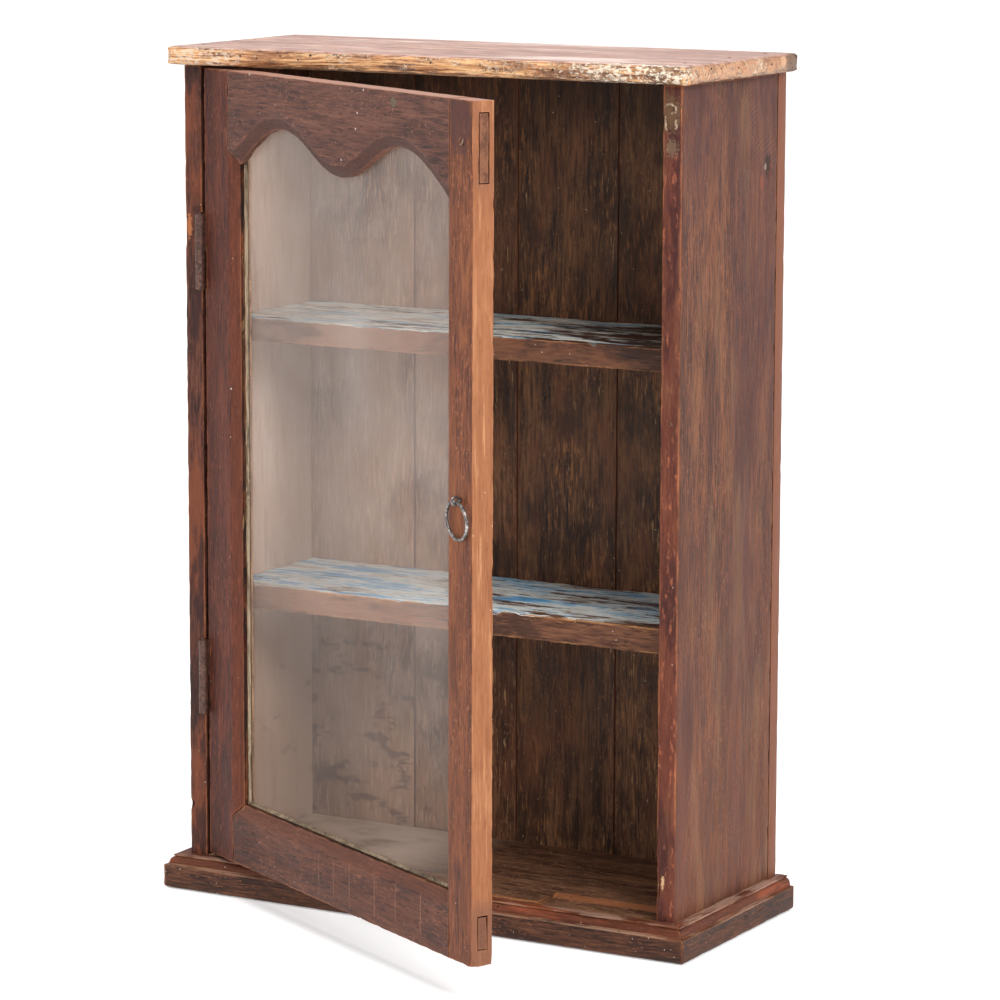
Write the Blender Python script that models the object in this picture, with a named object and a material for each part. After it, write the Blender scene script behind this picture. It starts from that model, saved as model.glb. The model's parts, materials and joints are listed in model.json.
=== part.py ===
"""Wall-mounted showcase: a narrow cabinet of reclaimed boards with one glazed door.

Units: sizes below are millimetres, and every builder turns them into metres with MM.
Frame: X runs across the front, the front faces -Y, +Z is up. The origin lies on the underside,
at the middle of the body's width and depth. The door stands open by DOOR_OPEN_DEG at rest.
"""

import math

import bmesh
import bpy
from mathutils import Vector

MM = 0.001

# Driving dimensions of the case
BODY_WIDTH = 488.0  # outside faces of the side panels
BODY_DEPTH = 196.0  # front edges of the sides to the rear face of the back planks
OPENING_HEIGHT = 704.0  # floor board's top to the top board's underside
SIDE_THICKNESS = 18.0
BACK_THICKNESS = 16.0
BACK_SEAMS = (-117.0, -10.5, 90.0)  # joints between the back planks, from the middle
BASE_BOARD_THICKNESS = 18.0
FLOOR_THICKNESS = 13.7
TOP_THICKNESS = 16.5
TOP_OVERHANG_LEFT = 10.0
TOP_OVERHANG_RIGHT = 13.0
TOP_OVERHANG_FRONT = 15.0
TOP_NOSE = 2.5  # rounding of the top board's arrises

# Shelves, with tongues housed in stopped grooves in the sides
SHELF_SETBACK = 37.0
SHELVES = (  # name, top's share of the opening's height, thickness
    ("shelf_lower", 0.34375, 23.0),
    ("shelf_upper", 0.6825, 21.0),
)
HOUSING_DEPTH = 6.0
TONGUE_THICKNESS = 9.0
TONGUE_ROOT = 2.0  # overlap that joins a tongue to its shelf

# Worn step cut into the front right corner of the floor board
STEP_LENGTH = 114.0
STEP_SETBACK = 38.0
STEP_SLOPE = 12.0
STEP_DEPTH = 3.0
STEP_CREST = 0.01  # slope's upper end, just clear of the floor's face

# Base moulding
MOULDING_PROJECTION = 17.5
MOULDING_DROP = 1.5  # its top below the floor board's top
FILLET_BELOW_TOP = 9.0
OVOLO_OUT = 14.2
BEAD_OUT = 9.8
BEAD_HEIGHT = 2.2
BEAD_STEP = 0.4  # bead's centre, out from the ovolo's top
FILLET_EDGE = 0.8  # broken corner of the fillet
MOULDING_FOOT_ROUND = 3.5

# Door
DOOR_OPEN_DEG = 28.8
DOOR_THICKNESS = 20.0
DOOR_SIDE_GAP = 1.2
DOOR_BOTTOM_GAP = 1.5
DOOR_TOP_GAP = 2.0
HINGE_STILE_FACE = 42.5
FREE_STILE_FACE = 36.0
BOTTOM_RAIL_FACE = 42.5
CHAMFER_WIDTH = 11.5
CHAMFER_DEPTH = 6.5
LIP_DEPTH = 12.0  # front face to the rebate that takes the glass
GLASS_THICKNESS = 3.0
GLASS_FIT = 1.5  # pane and beads, from the rebate's walls
BEAD_WIDTH = 8.0
BEAD_DEPTH = 4.2
BEAD_EDGE = 0.4  # share of the depth left at the bead's thin edge
BEAD_FLAT = 0.45  # share of the width that is full depth
TENON_FRONT = 6.4
TENON_THICKNESS = 8.6
TENON_SHOULDER = 10.0
TENON_INSET = 4.0  # tenon's edge, inside the scallop's springing and above the bottom shoulder
TENON_TOP = 1.0  # bottom tenon's upper edge, below the rail's face edge
TENON_ROOT = 0.8  # overlap that joins a tenon to its rail
MORTISE_OUT = 5.0  # mortise cutters, past the stile's outer edge
MORTISE_IN = 20.0  # mortise cutters, past the stile's chamfered edge

# Scalloped lower edge of the door's top rail, measured down from the door's top
LOBE_DROP = 46.0
VALLEY_DROP = 78.5
SPRING_DROP = 81.0
REBATE_DROP = 27.0
LOBE_SPACING = 197.5
WAVE_STEPS = 12

# Hinges
HINGE_LENGTH = 66.0
HINGE_END = 162.5  # each hinge's middle, from the end of the opening that it is nearer to
HINGE_HEIGHTS = (  # name, middle above the floor board
    ("hinge_lower", HINGE_END),
    ("hinge_upper", OPENING_HEIGHT - HINGE_END),
)
HINGE_STANDOFF = 0.4  # knuckles, clear of the sides' front edges
KNUCKLE_RADIUS = 4.2
PIN_RADIUS = 2.0
PIN_CLEARANCE = 0.1
LEAF_THICKNESS = 1.2
LEAF_DEPTH = 15.0
LEAF_CLEARANCE = 0.6  # plate's edge, from the knuckle that isn't its own
NECK_CLEARANCE = 0.3  # plate's neck, from the bore
PIN_PROUD = 1.5  # pin's ends, past the knuckles
PIN_SHOULDER = 0.9
PIN_TIP = 0.6  # share of the pin's radius left at its tip
SCREW_SETBACK = 0.55  # share of the leaf's depth
SCREW_SPREAD = 22.0
SCREW_HEAD_RADIUS = 2.6
SCREW_HEAD_EDGE = 0.15
SCREW_RADIUS = 1.2
SCREW_LENGTH = 12.0
SCREW_POINT = 2.0
SCREW_SUNK = 0.1  # heads, below the plates

# Ring pull
RING_HEIGHT = 0.5433 * OPENING_HEIGHT  # eye's middle above the floor board
RING_RADIUS = 15.6
RING_WIRE_RADIUS = 1.4
RING_LEAN_DEG = 4.5
EYE_HOLE_RADIUS = 2.2
EYE_WIRE_RADIUS = 1.1
EYE_SHANK = 13.0

# Keyhole plates let into the back, for hanging on the wall
PLATE_OFFSET = 170.0  # from the middle of the case to each plate's middle
PLATE_DROP = 60.0  # plate's middle below the top board
PLATE_WIDTH = 18.0
PLATE_HEIGHT = 44.0
PLATE_THICKNESS = 1.6
KEYHOLE_RADIUS = 4.5
KEYSLOT_WIDTH = 4.6
KEYSLOT_RISE = 9.0
KEYHOLE_POCKET = 7.0
POCKET_ALLOWANCE = 2.0  # pocket, wider than the keyhole all round
PLATE_SCREW_SPREAD = 17.0
PLATE_SCREW_LENGTH = 10.0

# Fits
TOUCH = 0.3  # left between pieces that touch
CUT_PAST = 1.0  # how far a cutter runs past the face that it opens
LEAF_RECESS = LEAF_THICKNESS + TOUCH
SCREW_FIT = 0.3
EASE = 0.7  # worn arris of every board

# Places worked out from the sizes above
HALF_WIDTH = BODY_WIDTH / 2
HALF_DEPTH = BODY_DEPTH / 2
INNER_X = HALF_WIDTH - SIDE_THICKNESS
FRONT_Y = -HALF_DEPTH
BACK_INNER_Y = HALF_DEPTH - BACK_THICKNESS
FLOOR_BOTTOM_Z = BASE_BOARD_THICKNESS + TOUCH
FLOOR_TOP_Z = FLOOR_BOTTOM_Z + FLOOR_THICKNESS
TOP_Z = FLOOR_TOP_Z + OPENING_HEIGHT
MOULDING_TOP_Z = FLOOR_TOP_Z - MOULDING_DROP
PIVOT_X = -INNER_X + DOOR_SIDE_GAP / 2
PIVOT_Y = FRONT_Y - KNUCKLE_RADIUS - HINGE_STANDOFF
DOOR_WIDTH = 2 * INNER_X - 2 * DOOR_SIDE_GAP
DOOR_HEIGHT = OPENING_HEIGHT - DOOR_BOTTOM_GAP - DOOR_TOP_GAP
DOOR_BOTTOM_Z = FLOOR_TOP_Z + DOOR_BOTTOM_GAP
DOOR_EDGE_X = DOOR_SIDE_GAP / 2  # door's hinge edge, from the pivot
DOOR_FACE_Y = FRONT_Y - PIVOT_Y  # door's front face, from the pivot when closed
SIGHT_LEFT = HINGE_STILE_FACE + CHAMFER_WIDTH
SIGHT_RIGHT = DOOR_WIDTH - FREE_STILE_FACE - CHAMFER_WIDTH
SIGHT_BOTTOM = BOTTOM_RAIL_FACE + CHAMFER_WIDTH
REBATE_LEFT = HINGE_STILE_FACE
REBATE_RIGHT = DOOR_WIDTH - FREE_STILE_FACE
REBATE_BOTTOM = BOTTOM_RAIL_FACE
REBATE_TOP = DOOR_HEIGHT - REBATE_DROP
SPRING_Z = DOOR_HEIGHT - SPRING_DROP


def clear_scene():
    for obj in list(bpy.data.objects):
        bpy.data.objects.remove(obj, do_unlink=True)


def material(name, colour, roughness, metallic=0.0, alpha=1.0, transmission=0.0):
    made = bpy.data.materials.new(name)
    made.use_nodes = True
    shader = made.node_tree.nodes["Principled BSDF"]
    shader.inputs["Base Color"].default_value = (*colour, 1.0)
    shader.inputs["Roughness"].default_value = roughness
    shader.inputs["Metallic"].default_value = metallic
    shader.inputs["Alpha"].default_value = alpha
    shader.inputs["Transmission Weight"].default_value = transmission
    made.diffuse_color = (*colour, alpha)
    return made


def wood(name, colour):
    return material(name, colour, roughness=0.55)


def iron(name, colour):
    return material(name, colour, roughness=0.5, metallic=0.8)


def add_object(name, shape, paint, place=(0, 0, 0), parent=None):
    """Makes an object from a bmesh in millimetres, placed at a point in millimetres."""
    bmesh.ops.remove_doubles(shape, verts=shape.verts, dist=0.0005)
    bmesh.ops.recalc_face_normals(shape, faces=shape.faces)
    bmesh.ops.scale(shape, vec=(MM, MM, MM), verts=shape.verts)
    mesh = bpy.data.meshes.new(name)
    shape.to_mesh(mesh)
    shape.free()
    obj = bpy.data.objects.new(name, mesh)
    bpy.context.scene.collection.objects.link(obj)
    obj.location = Vector(place) * MM
    obj.parent = parent
    if paint:
        mesh.materials.append(paint)
    return obj


def add_empty(name, place, parent=None, turn=(0, 0, 0)):
    empty = bpy.data.objects.new(name, None)
    bpy.context.scene.collection.objects.link(empty)
    empty.location = Vector(place) * MM
    empty.rotation_euler = turn
    empty.parent = parent
    return empty


def ease_edges(obj, width=EASE, segments=2):
    bevel = obj.modifiers.new("worn_arris", "BEVEL")
    bevel.width = width * MM
    bevel.segments = segments
    bevel.limit_method = "ANGLE"
    bevel.angle_limit = math.radians(50)


def smooth(obj, angle=35):
    """Shades the round faces smooth and keeps edges steeper than the angle sharp."""
    obj.data.shade_smooth()
    obj.data.set_sharp_from_angle(angle=math.radians(angle))


def combine(obj, other, operation):
    other.hide_render = True
    other.display_type = "WIRE"
    boolean = obj.modifiers.new(other.name, "BOOLEAN")
    boolean.operation = operation
    boolean.object = other
    boolean.solver = "EXACT"


def cut(obj, other):
    combine(obj, other, "DIFFERENCE")


def join(obj, other):
    combine(obj, other, "UNION")


def block(name, low, high, paint=None, parent=None, ease=0.0):
    """A box between two corners, with its origin at its middle."""
    low, high = Vector(low), Vector(high)
    shape = bmesh.new()
    bmesh.ops.create_cube(shape, size=1.0)
    bmesh.ops.scale(shape, vec=high - low, verts=shape.verts)
    obj = add_object(name, shape, paint, (low + high) / 2, parent)
    if ease:
        ease_edges(obj, ease)
    return obj


def prism(name, outline, axis, start, end, paint=None, parent=None, place=(0, 0, 0)):
    """An outline swept along X, Y or Z. The outline's pairs are the other two axes, in order."""

    def point(pair, along):
        coords = list(pair)
        coords.insert("XYZ".index(axis), along)
        return coords

    loops = [[point(pair, along) for pair in outline] for along in (start, end)]
    return loft(name, loops, paint, parent, place)


def loft(name, loops, paint=None, parent=None, place=(0, 0, 0)):
    """A closed solid through loops of points, capped at both ends."""
    shape = bmesh.new()
    rings = [[shape.verts.new(point) for point in loop] for loop in loops]
    for first, second in zip(rings, rings[1:]):
        for index in range(len(first)):
            after = (index + 1) % len(first)
            shape.faces.new((first[index], first[after], second[after], second[index]))
    shape.faces.new(rings[0])
    shape.faces.new(reversed(rings[-1]))
    return add_object(name, shape, paint, place, parent)


def circle(radius, count, centre=(0, 0), start=0.0, sweep=2 * math.pi):
    """Points of a circle, or of an arc with both its ends when sweep is less than a full turn."""
    whole = abs(sweep) > 2 * math.pi - 1e-6
    steps = count if whole else count - 1
    angles = [start + sweep * step / steps for step in range(count)]
    return [(centre[0] + radius * math.cos(turn), centre[1] + radius * math.sin(turn)) for turn in angles]


def rod(name, radius, axis, start, end, parent=None, place=(0, 0, 0), count=24):
    """A round bar along X, Y or Z."""
    order = "XYZ".index(axis)
    loops = [[pair[:order] + (along,) + pair[order:] for pair in circle(radius, count)] for along in (start, end)]
    obj = loft(name, loops, None, parent, place)
    smooth(obj)
    return obj


def spin_round(shape, geometry, steps):
    """Sweeps a section a full turn about Z."""
    whole = 2 * math.pi
    bmesh.ops.spin(shape, geom=geometry, axis=(0, 0, 1), cent=(0, 0, 0), angle=whole, steps=steps)


def turned(name, profile, paint, parent=None, place=(0, 0, 0), turn=(0, 0, 0), count=20):
    """A solid of revolution about Z through (radius, height) pairs that start and end on the axis."""
    shape = bmesh.new()
    verts = [shape.verts.new((radius, 0, height)) for radius, height in profile]
    edges = [shape.edges.new(pair) for pair in zip(verts, verts[1:])]
    spin_round(shape, verts + edges, count)
    obj = add_object(name, shape, paint, place, parent)
    obj.rotation_euler = turn
    smooth(obj)
    return obj


def torus(name, radius, wire, paint=None, parent=None, place=(0, 0, 0), count=48, sides=12):
    """A ring of round wire in the XZ plane."""
    shape = bmesh.new()
    section = [shape.verts.new((radius + x, 0, z)) for x, z in circle(wire, sides)]
    edges = [shape.edges.new((section[index - 1], section[index])) for index in range(sides)]
    spin_round(shape, section + edges, count)
    for vert in shape.verts:
        vert.co = (vert.co.x, vert.co.z, vert.co.y)
    obj = add_object(name, shape, paint, place, parent)
    smooth(obj)
    return obj


def build_sides(paint_left, paint_right):
    """Side panels, with a stopped groove for each shelf end."""
    for name, sign, paint in (("side_panel_left", -1, paint_left), ("side_panel_right", 1, paint_right)):
        edges = sorted((sign * INNER_X, sign * HALF_WIDTH))
        panel = block(
            name,
            (edges[0], FRONT_Y, FLOOR_BOTTOM_Z),
            (edges[1], BACK_INNER_Y - TOUCH, TOP_Z - TOUCH),
            paint,
            ease=EASE,
        )
        for shelf, share, thickness in SHELVES:
            groove = sorted((sign * (INNER_X - CUT_PAST), sign * (INNER_X + HOUSING_DEPTH)))
            low, high = tongue_heights(share, thickness)
            cut(
                panel,
                block(
                    f"groove_{name}_{shelf}",
                    (groove[0], FRONT_Y + SHELF_SETBACK - TOUCH, low - TOUCH),
                    (groove[1], BACK_INNER_Y + CUT_PAST, high + TOUCH),
                ),
            )
        if sign < 0:
            for hinge, height in HINGE_HEIGHTS:
                seat_frame_leaf(panel, hinge, FLOOR_TOP_Z + height)


def tongue_heights(share, thickness):
    """Lowest and highest points of a shelf's tongues, at the middle of its thickness."""
    middle = FLOOR_TOP_Z + share * OPENING_HEIGHT - thickness / 2
    return middle - TONGUE_THICKNESS / 2, middle + TONGUE_THICKNESS / 2


def seat_frame_leaf(panel, hinge, height):
    """Recess and screw holes for a hinge leaf in the left panel's inner face."""
    half = HINGE_LENGTH / 2 + TOUCH
    cut(
        panel,
        block(
            f"recess_{hinge}_frame",
            (-INNER_X - LEAF_RECESS, FRONT_Y - CUT_PAST, height - half),
            (-INNER_X + CUT_PAST, PIVOT_Y + KNUCKLE_RADIUS + LEAF_DEPTH + TOUCH, height + half),
        ),
    )
    for mark, offset in (("low", -SCREW_SPREAD), ("high", SCREW_SPREAD)):
        cut(
            panel,
            rod(
                f"pilot_{hinge}_frame_{mark}",
                SCREW_RADIUS + SCREW_FIT,
                "X",
                -INNER_X - SCREW_LENGTH - SCREW_FIT,
                -INNER_X,
                place=(0, leaf_screw_y(), height + offset),
                count=16,
            ),
        )


def leaf_screw_y():
    """World Y of the hinge screws when the door is closed."""
    return PIVOT_Y + KNUCKLE_RADIUS + LEAF_DEPTH * SCREW_SETBACK


def build_back(paints):
    """Upright planks nailed across the rear edges of the sides."""
    edges = (-HALF_WIDTH, *BACK_SEAMS, HALF_WIDTH)
    planks = []
    for index, (left, right) in enumerate(zip(edges, edges[1:])):
        plank = block(
            f"back_plank_{index + 1}",
            (left + (TOUCH if index else 0), BACK_INNER_Y, FLOOR_BOTTOM_Z),
            (right - (TOUCH if right < HALF_WIDTH else 0), HALF_DEPTH, TOP_Z - TOUCH),
            paints[index],
            ease=EASE,
        )
        planks.append(plank)
    return planks


def build_top(paint):
    top = block(
        "top_board",
        (-HALF_WIDTH - TOP_OVERHANG_LEFT, FRONT_Y - TOP_OVERHANG_FRONT, TOP_Z),
        (HALF_WIDTH + TOP_OVERHANG_RIGHT, HALF_DEPTH, TOP_Z + TOP_THICKNESS),
        paint,
    )
    ease_edges(top, TOP_NOSE, 3)


def build_floor(paint_floor, paint_base):
    """Base board that the sides stand on, and the floor board between them with its worn front corner."""
    low = (-HALF_WIDTH, FRONT_Y, 0)
    high = (HALF_WIDTH, HALF_DEPTH, BASE_BOARD_THICKNESS)
    block("base_board", low, high, paint_base, ease=EASE)
    floor = block(
        "floor_board",
        (-INNER_X + TOUCH, FRONT_Y, FLOOR_BOTTOM_Z),
        (INNER_X - TOUCH, BACK_INNER_Y - TOUCH, FLOOR_TOP_Z),
        paint_floor,
        ease=EASE,
    )
    step_y = FRONT_Y + STEP_SETBACK
    outline = [
        (FRONT_Y - CUT_PAST, FLOOR_TOP_Z - STEP_DEPTH),
        (step_y - STEP_SLOPE, FLOOR_TOP_Z - STEP_DEPTH),
        (step_y, FLOOR_TOP_Z + STEP_CREST),
        (step_y, FLOOR_TOP_Z + CUT_PAST),
        (FRONT_Y - CUT_PAST, FLOOR_TOP_Z + CUT_PAST),
    ]
    cut(floor, prism("worn_step", outline, "X", INNER_X - STEP_LENGTH, INNER_X + CUT_PAST))


def build_shelves(paints):
    for (name, share, thickness), paint in zip(SHELVES, paints):
        top = FLOOR_TOP_Z + share * OPENING_HEIGHT
        half = INNER_X - TOUCH
        front, rear = FRONT_Y + SHELF_SETBACK, BACK_INNER_Y - TOUCH
        shelf = block(name, (-half, front, top - thickness), (half, rear, top), paint, ease=EASE)
        low, high = tongue_heights(share, thickness)
        for side, sign in (("left", -1), ("right", 1)):
            start, end = sorted((sign * (half - TONGUE_ROOT), sign * (INNER_X + HOUSING_DEPTH - TOUCH)))
            join(shelf, block(f"tongue_{name}_{side}", (start, front, low), (end, rear, high)))


def moulding_profile():
    """(outward, height) pairs round the base moulding: foot, face, fillet, ovolo and bead."""
    fillet = MOULDING_TOP_Z - FILLET_BELOW_TOP
    foot_centre = (MOULDING_PROJECTION - MOULDING_FOOT_ROUND, MOULDING_FOOT_ROUND)
    foot = circle(MOULDING_FOOT_ROUND, 5, foot_centre, -math.pi / 2, math.pi / 2)
    ovolo_top = MOULDING_TOP_Z - BEAD_HEIGHT
    wide, tall = OVOLO_OUT - BEAD_OUT, ovolo_top - fillet
    ovolo = [(BEAD_OUT + wide * math.cos(turn), fillet + tall * math.sin(turn)) for turn in quarter(6)]
    bead_centre = (BEAD_OUT + BEAD_STEP, MOULDING_TOP_Z - BEAD_HEIGHT / 2)
    bead = circle(BEAD_HEIGHT / 2, 5, bead_centre, -math.pi / 2, math.pi)
    corner = [(MOULDING_PROJECTION, fillet - FILLET_EDGE), (MOULDING_PROJECTION - FILLET_EDGE, fillet)]
    return [(TOUCH, 0), *foot, *corner, *ovolo, *bead, (TOUCH, MOULDING_TOP_Z)]


def quarter(count):
    return [math.pi / 2 * step / (count - 1) for step in range(count)]


def build_mouldings(paints):
    """Front length mitred at both ends, and side lengths mitred at the front and square at the back."""
    profile = moulding_profile()
    mitre = TOUCH / 2

    def front_end(sign):
        return [(sign * (HALF_WIDTH + out - mitre), FRONT_Y - out, up) for out, up in profile]

    def side_start(sign):
        return [(sign * (HALF_WIDTH + out), FRONT_Y - out + mitre, up) for out, up in profile]

    def side_end(sign):
        return [(sign * (HALF_WIDTH + out), HALF_DEPTH, up) for out, up in profile]

    lengths = (
        ("base_moulding_front", front_end(-1), front_end(1)),
        ("base_moulding_left", side_start(-1), side_end(-1)),
        ("base_moulding_right", side_start(1), side_end(1)),
    )
    for (name, start, end), paint in zip(lengths, paints):
        smooth(loft(name, [start, end], paint), 40)


def door_point(across, deep, up):
    """A place on the door, in the door axis's own space: across from the hinge edge, deep from the face."""
    return (DOOR_EDGE_X + across, DOOR_FACE_Y + deep, up)


def door_block(name, low, high, door, paint=None, ease=0.0):
    return block(name, door_point(*low), door_point(*high), paint, door, ease)


def frame_member(name, door, paint, face, sight, rebate):
    """A door frame member lofted through its outline at the face, at the lip and in the glass rebate."""
    front = ((0, face), (CHAMFER_DEPTH, sight), (LIP_DEPTH, sight))
    depths = (*front, (LIP_DEPTH, rebate), (DOOR_THICKNESS, rebate))
    loops = [[door_point(across, deep, up) for across, up in outline] for deep, outline in depths]
    return loft(name, loops, paint, door)


def build_stiles(door, paint_hinge, paint_free):
    """Stiles run the full height. Their chamfered inner edges stop in mitres at the rails."""
    low, high = BOTTOM_RAIL_FACE, SPRING_Z + CHAMFER_WIDTH
    sides = (
        ("door_stile_hinge", paint_hinge, 0.0, HINGE_STILE_FACE - TOUCH / 2, SIGHT_LEFT),
        ("door_stile_free", paint_free, DOOR_WIDTH, DOOR_WIDTH - FREE_STILE_FACE + TOUCH / 2, SIGHT_RIGHT),
    )
    stiles = []
    for name, paint, edge, face_x, sight_x in sides:
        ends = [(edge, DOOR_HEIGHT), (edge, 0), (face_x, 0)]
        top = (face_x, DOOR_HEIGHT)
        face = ends + [(face_x, low), (face_x, low), (face_x, high), (face_x, high), top]
        sight = ends + [(face_x, low), (sight_x, SIGHT_BOTTOM), (sight_x, SPRING_Z), (face_x, high), top]
        stiles.append(frame_member(name, door, paint, face, sight, face))
    return stiles


def wave_drop(across):
    """How far below the door's top the scallop lies, at a place across the door."""
    middle = (SIGHT_LEFT + SIGHT_RIGHT) / 2
    peak = LOBE_SPACING / 2
    away = abs(across - middle)
    if away <= peak:
        swing = (VALLEY_DROP - LOBE_DROP) / 2
        return LOBE_DROP + swing + swing * math.cos(math.pi * away / peak)
    share = (away - peak) / (middle - SIGHT_LEFT - peak)
    return SPRING_DROP - (SPRING_DROP - LOBE_DROP) * math.cos(math.pi / 2 * min(share, 1.0))


def scallop():
    """Points of the scallop's lower edge and of the chamfer's outer edge above it, left to right."""
    count = 4 * WAVE_STEPS
    span = SIGHT_RIGHT - SIGHT_LEFT
    places = [SIGHT_LEFT + span * step / count for step in range(count + 1)]
    sight = [(across, DOOR_HEIGHT - wave_drop(across)) for across in places]
    face = []
    for index, (across, up) in enumerate(sight):
        before = sight[max(index - 1, 0)]
        after = sight[min(index + 1, count)]
        run, rise = after[0] - before[0], after[1] - before[1]
        size = math.hypot(run, rise)
        face.append((across - rise / size * CHAMFER_WIDTH, up + run / size * CHAMFER_WIDTH))
    face[0] = (SIGHT_LEFT - CHAMFER_WIDTH, SPRING_Z + CHAMFER_WIDTH)
    face[-1] = (SIGHT_RIGHT + CHAMFER_WIDTH, SPRING_Z + CHAMFER_WIDTH)
    return sight, face


def build_rails(door, paint_top, paint_bottom):
    """Rails between the stiles: the bottom one straight, the top one scalloped."""
    left, right = HINGE_STILE_FACE + TOUCH / 2, DOOR_WIDTH - FREE_STILE_FACE - TOUCH / 2
    low = BOTTOM_RAIL_FACE
    base = [(right, 0), (left, 0)]
    face = base + [(left, low), (left, low), (right, low), (right, low)]
    sight = base + [(left, low), (SIGHT_LEFT, SIGHT_BOTTOM), (SIGHT_RIGHT, SIGHT_BOTTOM), (right, low)]
    bottom = frame_member("door_rail_bottom", door, paint_bottom, face, sight, face)

    sight_wave, face_wave = scallop()
    mitre = SPRING_Z + CHAMFER_WIDTH
    top_edge = [(right, REBATE_TOP), (right, DOOR_HEIGHT), (left, DOOR_HEIGHT), (left, REBATE_TOP)]

    def inside(across):
        return min(max(across, left), right)

    face = [(inside(across), up) for across, up in face_wave]
    face = top_edge + [(left, mitre), *face, (right, mitre)]
    sight = top_edge + [(left, mitre), *sight_wave, (right, mitre)]
    rebate = [(inside(across), REBATE_TOP) for across, up in sight_wave]
    rebate = top_edge + [(left, REBATE_TOP), *rebate, (right, REBATE_TOP)]
    top = frame_member("door_rail_top", door, paint_top, face, sight, rebate)
    return top, bottom


def build_tenons(door, top_rail, bottom_rail, stiles):
    """Each rail's tenons run through the stiles and show on their outer edges."""
    left, right = HINGE_STILE_FACE, DOOR_WIDTH - FREE_STILE_FACE
    heights = (
        (top_rail, SPRING_Z + CHAMFER_WIDTH + TENON_INSET, DOOR_HEIGHT - TENON_SHOULDER),
        (bottom_rail, TENON_SHOULDER + TENON_INSET, REBATE_BOTTOM - TENON_TOP),
    )
    deep = (TENON_FRONT, TENON_FRONT + TENON_THICKNESS)
    for rail, low, high in heights:
        for side, stile, start, end, before, after in (
            ("hinge", stiles[0], TOUCH, left + TENON_ROOT, MORTISE_OUT, MORTISE_IN),
            ("free", stiles[1], right - TENON_ROOT, DOOR_WIDTH, MORTISE_IN, MORTISE_OUT),
        ):
            tag = f"{rail.name}_{side}"
            join(rail, door_block(f"tenon_{tag}", (start, deep[0], low), (end, deep[1], high), door))
            cut(
                stile,
                door_block(
                    f"mortise_{tag}",
                    (start - before, deep[0] - TOUCH, low - TOUCH),
                    (end + after, deep[1] + TOUCH, high + TOUCH),
                    door,
                ),
            )


def build_glazing(door, paint_glass, paint_bead):
    """The pane lies in the rebate, held from behind by four beads."""
    deep = LIP_DEPTH + TOUCH
    low = (REBATE_LEFT + GLASS_FIT, REBATE_BOTTOM + GLASS_FIT)
    high = (REBATE_RIGHT - GLASS_FIT, REBATE_TOP - GLASS_FIT)
    far = deep + GLASS_THICKNESS
    door_block("glass_pane", (low[0], deep, low[1]), (high[0], far, high[1]), door, paint_glass)
    back = far + TOUCH
    flat, thin = BEAD_WIDTH * BEAD_FLAT, BEAD_DEPTH * BEAD_EDGE
    section = [(0, 0), (BEAD_WIDTH, 0), (BEAD_WIDTH, thin), (flat, BEAD_DEPTH), (0, BEAD_DEPTH)]
    corner = BEAD_WIDTH + TOUCH
    uprights = (("glazing_bead_left", low[0], 1), ("glazing_bead_right", high[0], -1))
    for name, edge, sign in uprights:
        outline = [door_point(edge + sign * out, back + rise, 0)[:2] for out, rise in section]
        prism(name, outline, "Z", low[1], high[1], paint_bead, door)
    levels = (("glazing_bead_bottom", low[1], 1), ("glazing_bead_top", high[1], -1))
    for name, edge, sign in levels:
        outline = [door_point(0, back + rise, edge + sign * out)[1:] for out, rise in section]
        start, end = door_point(low[0] + corner, 0, 0)[0], door_point(high[0] - corner, 0, 0)[0]
        prism(name, outline, "X", start, end, paint_bead, door)


def knuckle(name, low, high, paint, parent=None, place=(0, 0, 0)):
    """A tube round the pin. Its bore clears the pin by PIN_CLEARANCE."""
    count = 32
    loops = []
    for radius, height in (
        (KNUCKLE_RADIUS, low),
        (KNUCKLE_RADIUS, high),
        (PIN_RADIUS + PIN_CLEARANCE, high),
        (PIN_RADIUS + PIN_CLEARANCE, low),
    ):
        loops.append([(x, y, height) for x, y in circle(radius, count)])
    shape = bmesh.new()
    rings = [[shape.verts.new(point) for point in loop] for loop in loops]
    for first, second in zip(rings, rings[1:] + rings[:1]):
        for index in range(count):
            after = (index + 1) % count
            shape.faces.new((first[index], first[after], second[after], second[index]))
    obj = add_object(name, shape, paint, place, parent)
    smooth(obj)
    return obj


def leaf_outline(knuckle_low, knuckle_high, half):
    """(depth, height) outline of a leaf: full plate, with a neck only where its own knuckle is."""
    neck = PIN_RADIUS + PIN_CLEARANCE + NECK_CLEARANCE
    plate = KNUCKLE_RADIUS + LEAF_CLEARANCE
    end = KNUCKLE_RADIUS + LEAF_DEPTH
    far = [(end, -half), (end, half)]
    if knuckle_low < 0:
        return [(neck, -half), *far, (plate, half), (plate, knuckle_high), (neck, knuckle_high)]
    return [(plate, -half), *far, (neck, half), (neck, knuckle_low), (plate, knuckle_low)]


def pin_profile(half):
    """(radius, height) pairs of a hinge pin with chamfered ends, which stand proud of its knuckles."""
    tip, shoulder, end = PIN_RADIUS * PIN_TIP, half + PIN_SHOULDER, half + PIN_PROUD
    upper = [(PIN_RADIUS, shoulder), (tip, end), (0, end)]
    lower = [(radius, -height) for radius, height in reversed(upper)]
    return lower + [(PIN_RADIUS, half)] + upper


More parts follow.
